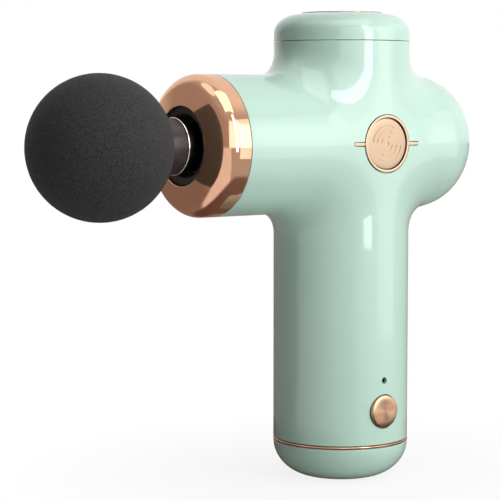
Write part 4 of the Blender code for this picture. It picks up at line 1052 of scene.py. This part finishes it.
def make_ball(finish):
    """The foam ball: a fine sphere with a flat seat, a bore and a slightly uneven skin."""
    lowest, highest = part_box("foam_ball")
    radius = reach("foam_ball", "X")
    centre_x = lowest.x + radius
    seat_x = highest.x
    deselect()
    place = (centre_x, 0.0, BARREL_Z)
    bpy.ops.mesh.primitive_ico_sphere_add(subdivisions=7, radius=radius, location=place)
    ball = place_here(named("foam_head"))
    texture = bpy.data.textures.new("Foam unevenness", "CLOUDS")
    texture.noise_scale = 0.9 * MM
    texture.noise_depth = 2
    apply_modifier(ball, "Uneven skin", "DISPLACE", texture=texture, strength=0.09 * MM, mid_level=0.5)
    opposite = (centre_x + 2 * radius, radius, BARREL_Z + radius)
    cut(ball, block("seat", (seat_x, -radius, BARREL_Z - radius), opposite))
    cut(ball, bar("bore", "X", BALL_BORE, seat_x - BALL_BORE_DEPTH, seat_x + 5 * MM, axis_centre("X")))
    pick(ball)
    bpy.ops.object.shade_smooth_by_angle(angle=math.radians(50))
    finish_piece(ball, "massage_head", ["foam_ball"], black_foam(finish))


def make_neck(sizes, finish):
    """The moulded neck with its core and post, the seal in the post's groove, and the washer."""
    core_end = low("head_plug").x
    post_end = high("head_plug").x
    neck_front = high("foam_ball").x + sizes.seam
    washer_low, washer_high = low("neck_trim_ring").x, high("neck_trim_ring").x
    neck_rear = washer_low - sizes.seam
    neck = reach("head_plug", "X")
    core, post = CORE_RADIUS, POST_RADIUS
    groove = post_end - 4.6 * MM
    groove_width = 1.8 * MM
    groove_floor = post - 0.9 * MM
    outline = [(0.0, core_end), (core - POST_CHAMFER, core_end), (core, core_end + POST_CHAMFER)]
    outline += [(core, neck_front), (neck, neck_front), (neck, neck_rear), (post, neck_rear)]
    outline += [(post, groove), (groove_floor, groove), (groove_floor, groove + groove_width)]
    outline += [(post, groove + groove_width), (post, post_end - POST_CHAMFER)]
    outline += [(post - POST_CHAMFER, post_end), (0.0, post_end)]
    turned_piece(
        "head_neck", "head_plug", outline, "X", (0.2 * MM, 3),
        satin_black(finish), "massage_head",
    )
    seal_centre = (groove_floor + SEAL_WIRE + 0.12 * MM, groove + groove_width / 2)
    outline = arc(seal_centre, (SEAL_WIRE, SEAL_WIRE), 0, 360, 16)
    seal = turn("head_seal_ring", outline, "X", axis_centre("X"), 96)
    smooth(seal, 60.0)
    finish_piece(seal, "massage_head", ["head_seal"], black_rubber(finish))
    outline = ring_section(post + sizes.seam, reach("neck_trim_ring", "X"), washer_low, washer_high)
    turned_piece(
        "neck_washer", "neck_trim_ring", outline, "X", (0.18 * MM, 4), chrome(),
        "massage_head",
    )


class MASSAGEGUN_OT_head(bpy.types.Operator):
    """Models the foam ball, its neck and post, the seal and the bright washer"""

    bl_idname = "massage_gun.head"
    bl_label = "Massage head"

    def execute(self, context):
        sizes = context.scene.massage_gun_sizes
        finish = context.scene.massage_gun_finish
        make_ball(finish)
        make_neck(sizes, finish)
        return {"FINISHED"}


# ---------------------------------------------------------------- badge

def make_disc(sizes, finish, centre, radius, front, back):
    """The disc inside the rim, engraved with plain nested arcs."""
    face = front + 0.4 * MM
    outline = [(0.0, back), (radius, back), (radius, face + 0.15 * MM)]
    outline += [(radius - 0.3 * MM, face), (0.0, face)]
    disc = turn("badge_face", outline, "Y", centre, sizes.steps)
    dot, depth = 0.9 * MM, 0.12 * MM
    outline = [(0.0, face - MM), (dot, face - MM), (dot, face + depth), (0.0, face + depth)]
    cutters = [turn("middle_dot", outline, "Y", centre, 64)]
    for share in (0.28, 0.50, 0.72):
        cutters += [ripple(centre, radius * share, face, side, 116.0) for side in (0.0, 180.0)]
    pick(cutters[0])
    for cutter in cutters:
        cutter.select_set(True)
    bpy.ops.object.join()
    cut(disc, cutters[0])
    smooth(disc, 30.0)
    finish_piece(disc, "casing", ["badge_disc"], satin_pale_gold(finish))


def ripple(centre, radius, face, side, sweep):
    """A curved cutter of square section, centred on one side of the disc."""
    half_width, depth = 0.17 * MM, 0.13 * MM
    outline = ring_section(radius - half_width, radius + half_width, face - MM, face + depth)
    cutter = turn("ripple", outline, "Y", centre, 48, sweep)
    pick(cutter)
    bpy.ops.object.mode_set(mode="EDIT")
    bpy.ops.mesh.select_all(action="SELECT")
    angle = math.radians(sweep / 2 + side)
    bpy.ops.transform.rotate(value=angle, orient_axis="Y", center_override=centre)
    bpy.ops.object.mode_set(mode="OBJECT")
    return cutter


class MASSAGEGUN_OT_badge(bpy.types.Operator):
    """Models the badge: a raised rim with two side bars, and a disc with a plain ripple pattern"""

    bl_idname = "massage_gun.badge"
    bl_label = "Badge"

    def execute(self, context):
        sizes = context.scene.massage_gun_sizes
        finish = context.scene.massage_gun_finish
        lowest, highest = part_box("badge_rim")
        centre = axis_centre("Y", middle("badge_rim").z)
        front, back = lowest.y, highest.y
        disc_radius = reach("badge_disc", "Y")
        inner = disc_radius + 2 * sizes.seam
        outline = ring_section(inner, inner + sizes.badge_rim, back, front)
        rim = turn("badge_frame", outline, "Y", centre, sizes.steps)
        half_height = sizes.badge_bar
        for side in (-1, 1):
            arm = block(
                "arm",
                (side * (inner + 0.3 * MM), front + 0.25 * MM, centre.z - half_height),
                (side * highest.x, back - 0.15 * MM, centre.z + half_height),
            )
            bevel_along(arm, "Y", half_height * 0.96, 8)
            cut(rim, arm, "UNION")
        round_edges(rim, 0.22 * MM, 4, 50.0)
        finish_piece(rim, "casing", ["badge_rim"], polished_pale_gold(finish))
        make_disc(sizes, finish, centre, disc_radius, front, back)
        return {"FINISHED"}


# ---------------------------------------------------------------- controls

def make_button(finish):
    """The button: a rounded metal face with fine turned rings, and a flange behind the wall."""
    front, back = low("power_button").y, high("power_button").y
    radius = reach("power_button", "Y", front) - 0.1 * MM
    flange = reach("power_button", "Y")
    flange_front = back - 0.7 * MM
    outline = [(0.0, front)]
    pitch, depth = 0.45 * MM, 0.018 * MM
    for ring in range(1, int((radius - 0.8 * MM) / pitch)):
        outline += [(ring * pitch, front), (ring * pitch + pitch / 2, front + depth)]
    outline += [(radius - 0.35 * MM, front), (radius, front + 0.35 * MM), (radius, flange_front)]
    outline += [(flange, flange_front), (flange, back), (0.0, back)]
    turned_piece(
        "button_cap", "power_button", outline, "Y", (0.1 * MM, 2, 38.0),
        spun_rose_gold(finish), "button",
    )


def make_lamp():
    """The status lamp's light pipe, with a domed tip inside its hole."""
    front, back = low("status_lamp").y + 0.1 * MM, high("status_lamp").y
    radius = reach("status_lamp", "Y")
    dome = 0.45 * MM
    outline = [(0.0, front)] + arc((0.0, front + dome), (radius, dome), -80, 0, 8)
    outline += [(radius, back), (0.0, back)]
    lamp = turn("status_light_pipe", outline, "Y", axis_centre("Y", middle("status_lamp").z), 48)
    smooth(lamp)
    finish_piece(lamp, "casing", ["status_lamp"], smoked_lens())


def make_port():
    """The charging inlet: a rounded drawn shell, open outwards, with a contact tongue."""
    lowest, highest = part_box("charging_port")
    centre = middle("charging_port")
    shell = block("inlet_shell", lowest, highest)
    bevel_along(shell, "X", (highest.z - lowest.z) * 0.485, 10)
    pick(shell)
    bpy.ops.object.mode_set(mode="EDIT")
    select_where(shell, "faces", lambda f: f.normal.x > 0.9)
    bpy.ops.mesh.inset(thickness=0.3 * MM)
    depth = highest.x - lowest.x - 0.6 * MM
    bpy.ops.mesh.extrude_region_move(TRANSFORM_OT_translate={"value": (-depth, 0, 0)})
    bpy.ops.object.mode_set(mode="OBJECT")
    round_edges(shell, 0.06 * MM, 2, 50.0)
    steel = machined_metal("Drawn steel", (0.55, 0.55, 0.56), 0.22, (0.0, 1.0, 1.0), centre)
    finish_piece(shell, "casing", ["charging_port"], steel)
    half_width, half_height = 3.3 * MM, 0.35 * MM
    tongue = block(
        "inlet_tongue",
        (lowest.x + 0.7 * MM, -half_width, centre.z - half_height),
        (highest.x - MM, half_width, centre.z + half_height),
    )
    bevel_along(tongue, "Z", 0.4 * MM, 4)
    round_edges(tongue, 0.1 * MM, 2)
    finish_piece(tongue, "casing", ["charging_port"], plated_contacts())


class MASSAGEGUN_OT_controls(bpy.types.Operator):
    """Models the spun power button, the status lamp and the charging port"""

    bl_idname = "massage_gun.controls"
    bl_label = "Button, lamp and port"

    def execute(self, context):
        make_button(context.scene.massage_gun_finish)
        make_lamp()
        make_port()
        return {"FINISHED"}


# ---------------------------------------------------------------- inner pieces

def make_piston(sizes):
    """The bored piston with the flat tongue that takes the wrist pin."""
    centre = axis_centre("X")
    front, back = low("piston").x, high("piston").x
    radius = reach("piston", "X")
    post_end = high("head_plug").x
    bore, bore_end = reach("head_plug", "X", post_end) + 1.4 * MM, post_end + 1.5 * MM
    outline = [(0.0, bore_end), (bore, bore_end), (bore, front)]
    outline += [(radius, front), (radius, back), (0.0, back)]
    piston = turn("drive_piston", outline, "X", centre, 96)
    pin_x = middle("wrist_pin").x
    tongue_top = high("wrist_pin").z - 2.5 * MM
    tongue_x = pin_x - 12.7 * MM
    wide = radius + MM
    cut(piston, block("relief", (tongue_x, -wide, tongue_top), (back + MM, wide, BARREL_Z + wide)))
    pin_hole = reach("wrist_pin", "Z", None, Vector((pin_x, 0.0, 0.0))) + sizes.seam
    cut(piston, bar("pin_hole", "Z", pin_hole, BARREL_Z - wide, BARREL_Z + wide, (pin_x, 0, 0), 48))
    round_edges(piston, 0.2 * MM, 2, 50.0)
    blued = machined_metal("Blued steel", (0.10, 0.10, 0.11), 0.3, (0.0, 1.0, 1.0), centre)
    finish_piece(piston, "piston_assembly", ["piston"], blued)


def finish_inner_pieces(finish):
    """Better materials for the frame's own inner nodes."""
    origin = Vector((0.0, 0.0, 0.0))
    upright = ((1.0, 1.0, 0.0), origin)
    rubber = black_rubber(finish)
    nylon = moulded_plastic("Grey nylon", (0.09, 0.09, 0.10), 0.5)
    steel = machined_metal("Ground steel", (0.56, 0.56, 0.58), 0.26, *upright)
    alloy = machined_metal("Cast alloy", (0.60, 0.61, 0.62), 0.42, *upright, pitch=0.6 * MM)
    race = machined_metal("Bearing steel", (0.48, 0.48, 0.50), 0.16, *upright, pitch=0.12 * MM)
    bronze = machined_metal("Sintered bronze", (0.42, 0.25, 0.10), 0.4, (0.0, 1.0, 1.0), axis_centre("X"))
    nickel = machined_metal("Nickel strip", (0.66, 0.64, 0.60), 0.28, (1.0, 0.0, 0.0), origin)
    for material, names in (
        (steel, "wrist_pin crank_pin motor_shaft rotor_bell"),
        (alloy, "connecting_rod motor_mount"),
        (race, "rod_bearing lower_bearing upper_bearing"),
        (bronze, "guide_bush"),
        (machined_metal("Turned brass", (0.62, 0.45, 0.18), 0.3, *upright), "eccentric_wheel"),
        (machined_metal("Plated magnet", (0.30, 0.30, 0.31), 0.24, *upright), "magnet_ring"),
        (nickel, "cell_link_strip"),
        (rubber, "mount_damper_1 mount_damper_2"),
        (nylon, "guide_sleeve battery_cradle"),
        (wound_copper(), "motor_stator"),
        (wrapped_cell(), "battery_cell_1 battery_cell_2"),
        (circuit_board(), "control_board charge_board"),
        (satin_black(finish), "button_switch"),
        (steel, " ".join(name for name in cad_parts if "screw" in name)),
    ):
        for name in names.split():
            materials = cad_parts[name].data.materials
            materials.clear()
            materials.append(material)


class MASSAGEGUN_OT_drive(bpy.types.Operator):
    """Models the piston, which shows behind the neck, and finishes the inner pieces of the frame"""

    bl_idname = "massage_gun.drive"
    bl_label = "Piston and inner pieces"

    def execute(self, context):
        make_piston(context.scene.massage_gun_sizes)
        finish_inner_pieces(context.scene.massage_gun_finish)
        return {"FINISHED"}


# ---------------------------------------------------------------- stage

AIM = Vector((-0.0235, 0.0080, 0.0741))
CAMERA_PLACE = Vector((-0.3927, -0.4688, 0.1254))
CAMERA_FORWARD = Vector((0.602, 0.794, -0.084))
RIGHT_OF_CAMERA = Vector((CAMERA_FORWARD.y, -CAMERA_FORWARD.x, 0.0)).normalized()


def heading(right_of_camera, upward=0.0):
    """A direction away from the object, in degrees to the right of the camera and degrees upwards."""
    backward = Vector((-CAMERA_FORWARD.x, -CAMERA_FORWARD.y, 0.0)).normalized()
    angle, tilt = math.radians(right_of_camera), math.radians(upward)
    flat = backward * math.cos(angle) + RIGHT_OF_CAMERA * math.sin(angle)
    return flat * math.cos(tilt) + Vector((0.0, 0.0, math.sin(tilt)))


def round_the_object(right_of_camera, height, distance):
    """A point on a circle round the object, from an angle in degrees to the right of the camera."""
    return Vector((AIM.x, AIM.y, height)) + heading(right_of_camera) * distance


def facing(tree, direction, towards, start, end):
    """A soft mask that is 1 where a direction is close to another. start and end are cosines."""
    dot = vector_maths(tree, "DOT_PRODUCT", direction, towards, output="Value")
    return mapped(tree, dot, start, end, interpolation_type="SMOOTHSTEP")


def glow_over(tree, share, under, colour_value):
    """Covers a shader with an even glow, by a share."""
    glow = add_node(tree, "Emission", {"Color": colour_value, "Strength": 1.0})
    shaders = {"Fac": share, 1: under, 2: glow.outputs["Emission"]}
    return add_node(tree, "MixShader", shaders).outputs["Shader"]


def add_light(name, place, target, width, height, brightness):
    """A rectangular soft light that faces a target, with the same brightness all over."""
    deselect()
    bpy.ops.object.light_add(type="AREA", location=place)
    light = bpy.context.active_object
    light.name = name
    light.rotation_euler = (target - place).to_track_quat("-Z", "Y").to_euler()
    light.data.shape = "RECTANGLE"
    light.data.size = width
    light.data.size_y = height
    light.data.energy = brightness * math.pi * width * height
    light.visible_camera = False
    return light


def make_floor(finish):
    """A round floor that fades to white away from the object."""
    deselect()
    bpy.ops.mesh.primitive_circle_add(vertices=96, radius=4.0, fill_type="NGON", location=(0.0, 0.0, 0.0))
    floor = named("studio_floor")
    dull = {"Roughness": 0.85, "Specular IOR Level": 0.1}
    material, tree, shader = new_material("Pale studio floor", dull)
    tone = place_effect(tree, "skin", 30.0, 400.0)["Tone"]
    feed(tree, shader.inputs["Base Color"], blend(tree, tone, *range_of(finish.floor, 0.99, 1.01)))
    distance = place_effect(tree, "grooves", (0.0, 0.0, 0.0), (1.0, 1.0, 0.0), 1.0)["Distance"]
    path = add_node(tree, "LightPath").outputs
    seen = maths(tree, "MULTIPLY", mapped(tree, distance, 0.015, 0.11, 0.86, 1.0), path["Is Camera Ray"])
    surface = glow_over(tree, seen, shader.outputs["BSDF"], grey(1.0))
    # Polished pieces see a painted floor reflection instead of the floor's own shading.
    surface = glow_over(tree, path["Is Glossy Ray"], surface, painted_floor_reflection(tree, distance))
    feed(tree, tree.nodes["Material Output"].inputs["Surface"], surface)
    floor.data.materials.append(material)


def painted_floor_reflection(tree, distance):
    """Painted reflection of the floor for polished pieces: painted shade in dark brown close to the object,
    and painted brightness in front of it.
    """
    outward = vector_maths(tree, "NORMALIZE", object_place(tree))
    side = facing(tree, outward, heading(20.0), 0.0, 0.4)
    front = facing(tree, outward, heading(-37.0), 0.70, 0.82)
    far = blend(tree, front, blend(tree, side, (0.24, 0.19, 0.175, 1.0), grey(0.45)), grey(0.95))
    # Painted shade: within about 0.1 m of the upright axis the reflected floor turns dark brown.
    return blend(tree, mapped(tree, distance, 0.10, 0.125), (0.09, 0.035, 0.028, 1.0), far)


def make_surroundings(scene):
    """White behind the object, and softly graded surroundings for light and reflections."""
    world = bpy.data.worlds.new("Studio surroundings")
    scene.world = world
    world.use_nodes = True
    tree = world.node_tree
    direction = add_node(tree, "TexCoord").outputs["Generated"]
    sideways = vector_maths(tree, "DOT_PRODUCT", direction, RIGHT_OF_CAMERA, output="Value")
    stops = ((0.0, 0.03), (0.30, 0.05), (0.55, 0.18), (0.80, 0.50), (1.0, 0.80))
    soft = grey_ramp(tree, mapped(tree, sideways, -1.0, 1.0), stops)
    path = add_node(tree, "LightPath").outputs
    mirrored = blend(tree, path["Is Glossy Ray"], soft, mirrored_surroundings(tree, direction))
    seen = blend(tree, path["Is Camera Ray"], mirrored, grey(1.0))
    feed(tree, tree.nodes["Background"].inputs["Color"], seen)


def mirrored_surroundings(tree, direction):
    """What polished pieces show above the floor: a grey room with bright panels."""
    up = Vector((0.0, 0.0, 1.0))
    room = blend(tree, facing(tree, direction, up, 0.45, 0.75), (0.42, 0.36, 0.34, 1.0), grey(0.50))
    behind = facing(tree, direction, heading(165.0, 20.0), 0.30, 0.60)
    room = blend(tree, behind, room, grey(0.95))
    corner = facing(tree, direction, heading(-88.0, 61.0), 0.955, 0.975)
    room = blend(tree, corner, room, grey(1.45))
    panel = facing(tree, direction, heading(40.0), 0.64, 0.74)
    for start, end in ((-0.16, -0.11), (0.63, 0.58)):
        panel = maths(tree, "MULTIPLY", panel, facing(tree, direction, up, start, end))
    return blend(tree, panel, room, grey(2.0))


def grey_ramp(tree, source, stops):
    """A ramp of greys over a value."""
    ramp = add_node(tree, "ValToRGB", {"Fac": source})
    while len(ramp.color_ramp.elements) < len(stops):
        ramp.color_ramp.elements.new(0.5)
    for element, (position, value) in zip(ramp.color_ramp.elements, stops):
        element.position = position
        element.color = grey(value)
    return ramp.outputs["Color"]


def make_lights(stage):
    """Broad lights right, above and behind, a strip beside the camera, one overhead and a small rim."""
    for name, angle, distance, width, bottom, top, brightness in (
        ("Front strip", 44.6, 0.70, 0.18, 0.02, 0.85, stage.strip_brightness),
        ("Side softbox", 80.0, 0.35, 0.21, 0.005, 0.35, stage.side_brightness),
        ("Front fill", 24.0, 0.90, 0.45, 0.08, 0.62, stage.fill_brightness),
        ("Back softbox", 155.0, 0.90, 0.60, 0.08, 0.70, stage.back_brightness),
        ("Rim strip", -123.0, 0.80, 0.04, 0.055, 0.10, stage.rim_brightness),
    ):
        height = (bottom + top) / 2
        place = round_the_object(angle, height, distance)
        light = add_light(name, place, Vector((AIM.x, AIM.y, height)), width, top - bottom, brightness)
        light.visible_glossy = name not in ("Front fill", "Back softbox")
    overhead = round_the_object(30.0, 0.80, 0.25)
    add_light("Overhead softbox", overhead, AIM, 0.7, 0.5, stage.top_brightness)


def make_camera(scene, stage):
    """The camera, level from side to side and looking slightly down."""
    deselect()
    bpy.ops.object.camera_add(location=CAMERA_PLACE)
    camera = bpy.context.active_object
    camera.name = "Studio camera"
    camera.rotation_euler = CAMERA_FORWARD.to_track_quat("-Z", "Y").to_euler()
    camera.data.lens = stage.lens
    camera.data.sensor_width = 36.0
    scene.camera = camera


class MASSAGEGUN_OT_stage(bpy.types.Operator):
    """Makes the pale floor, the soft lights, the surroundings and the camera"""

    bl_idname = "massage_gun.stage"
    bl_label = "Studio"

    def execute(self, context):
        stage = context.scene.massage_gun_stage
        make_floor(context.scene.massage_gun_finish)
        make_surroundings(context.scene)
        make_lights(stage)
        make_camera(context.scene, stage)
        context.scene.view_settings.view_transform = "Standard"
        return {"FINISHED"}


# ---------------------------------------------------------------- panel and registration

SETTINGS = (MassageGunSizes, MassageGunFinish, MassageGunStage)
OPERATORS = (
    MASSAGEGUN_OT_housing,
    MASSAGEGUN_OT_caps,
    MASSAGEGUN_OT_nose,
    MASSAGEGUN_OT_head,
    MASSAGEGUN_OT_badge,
    MASSAGEGUN_OT_controls,
    MASSAGEGUN_OT_drive,
    MASSAGEGUN_OT_stage,
)


class MASSAGEGUN_PT_panel(bpy.types.Panel):
    """Lists the pieces and the settings"""

    bl_idname = "MASSAGEGUN_PT_panel"
    bl_label = "Massage Gun"
    bl_space_type = "VIEW_3D"
    bl_region_type = "UI"
    bl_category = "Massage Gun"

    def draw(self, context):
        for operator in OPERATORS:
            self.layout.operator(operator.bl_idname)
        scene = context.scene
        for settings in (scene.massage_gun_sizes, scene.massage_gun_finish, scene.massage_gun_stage):
            column = self.layout.column()
            for prop in settings.bl_rna.properties:
                if prop.identifier not in ("rna_type", "name"):
                    column.prop(settings, prop.identifier)


def register():
    for kind in SETTINGS + OPERATORS + (MASSAGEGUN_PT_panel,):
        bpy.utils.register_class(kind)
    bpy.types.Scene.massage_gun_sizes = PointerProperty(type=MassageGunSizes)
    bpy.types.Scene.massage_gun_finish = PointerProperty(type=MassageGunFinish)
    bpy.types.Scene.massage_gun_stage = PointerProperty(type=MassageGunStage)


def unregister():
    del bpy.types.Scene.massage_gun_stage
    del bpy.types.Scene.massage_gun_finish
    del bpy.types.Scene.massage_gun_sizes
    for kind in reversed(SETTINGS + OPERATORS + (MASSAGEGUN_PT_panel,)):
        bpy.utils.unregister_class(kind)


def main():
    register()
    bpy.ops.massage_gun.housing()
    bpy.ops.massage_gun.caps()
    bpy.ops.massage_gun.nose()
    bpy.ops.massage_gun.head()
    bpy.ops.massage_gun.badge()
    bpy.ops.massage_gun.controls()
    bpy.ops.massage_gun.drive()
    bpy.ops.massage_gun.stage()


if __name__ == "__main__":
    main()
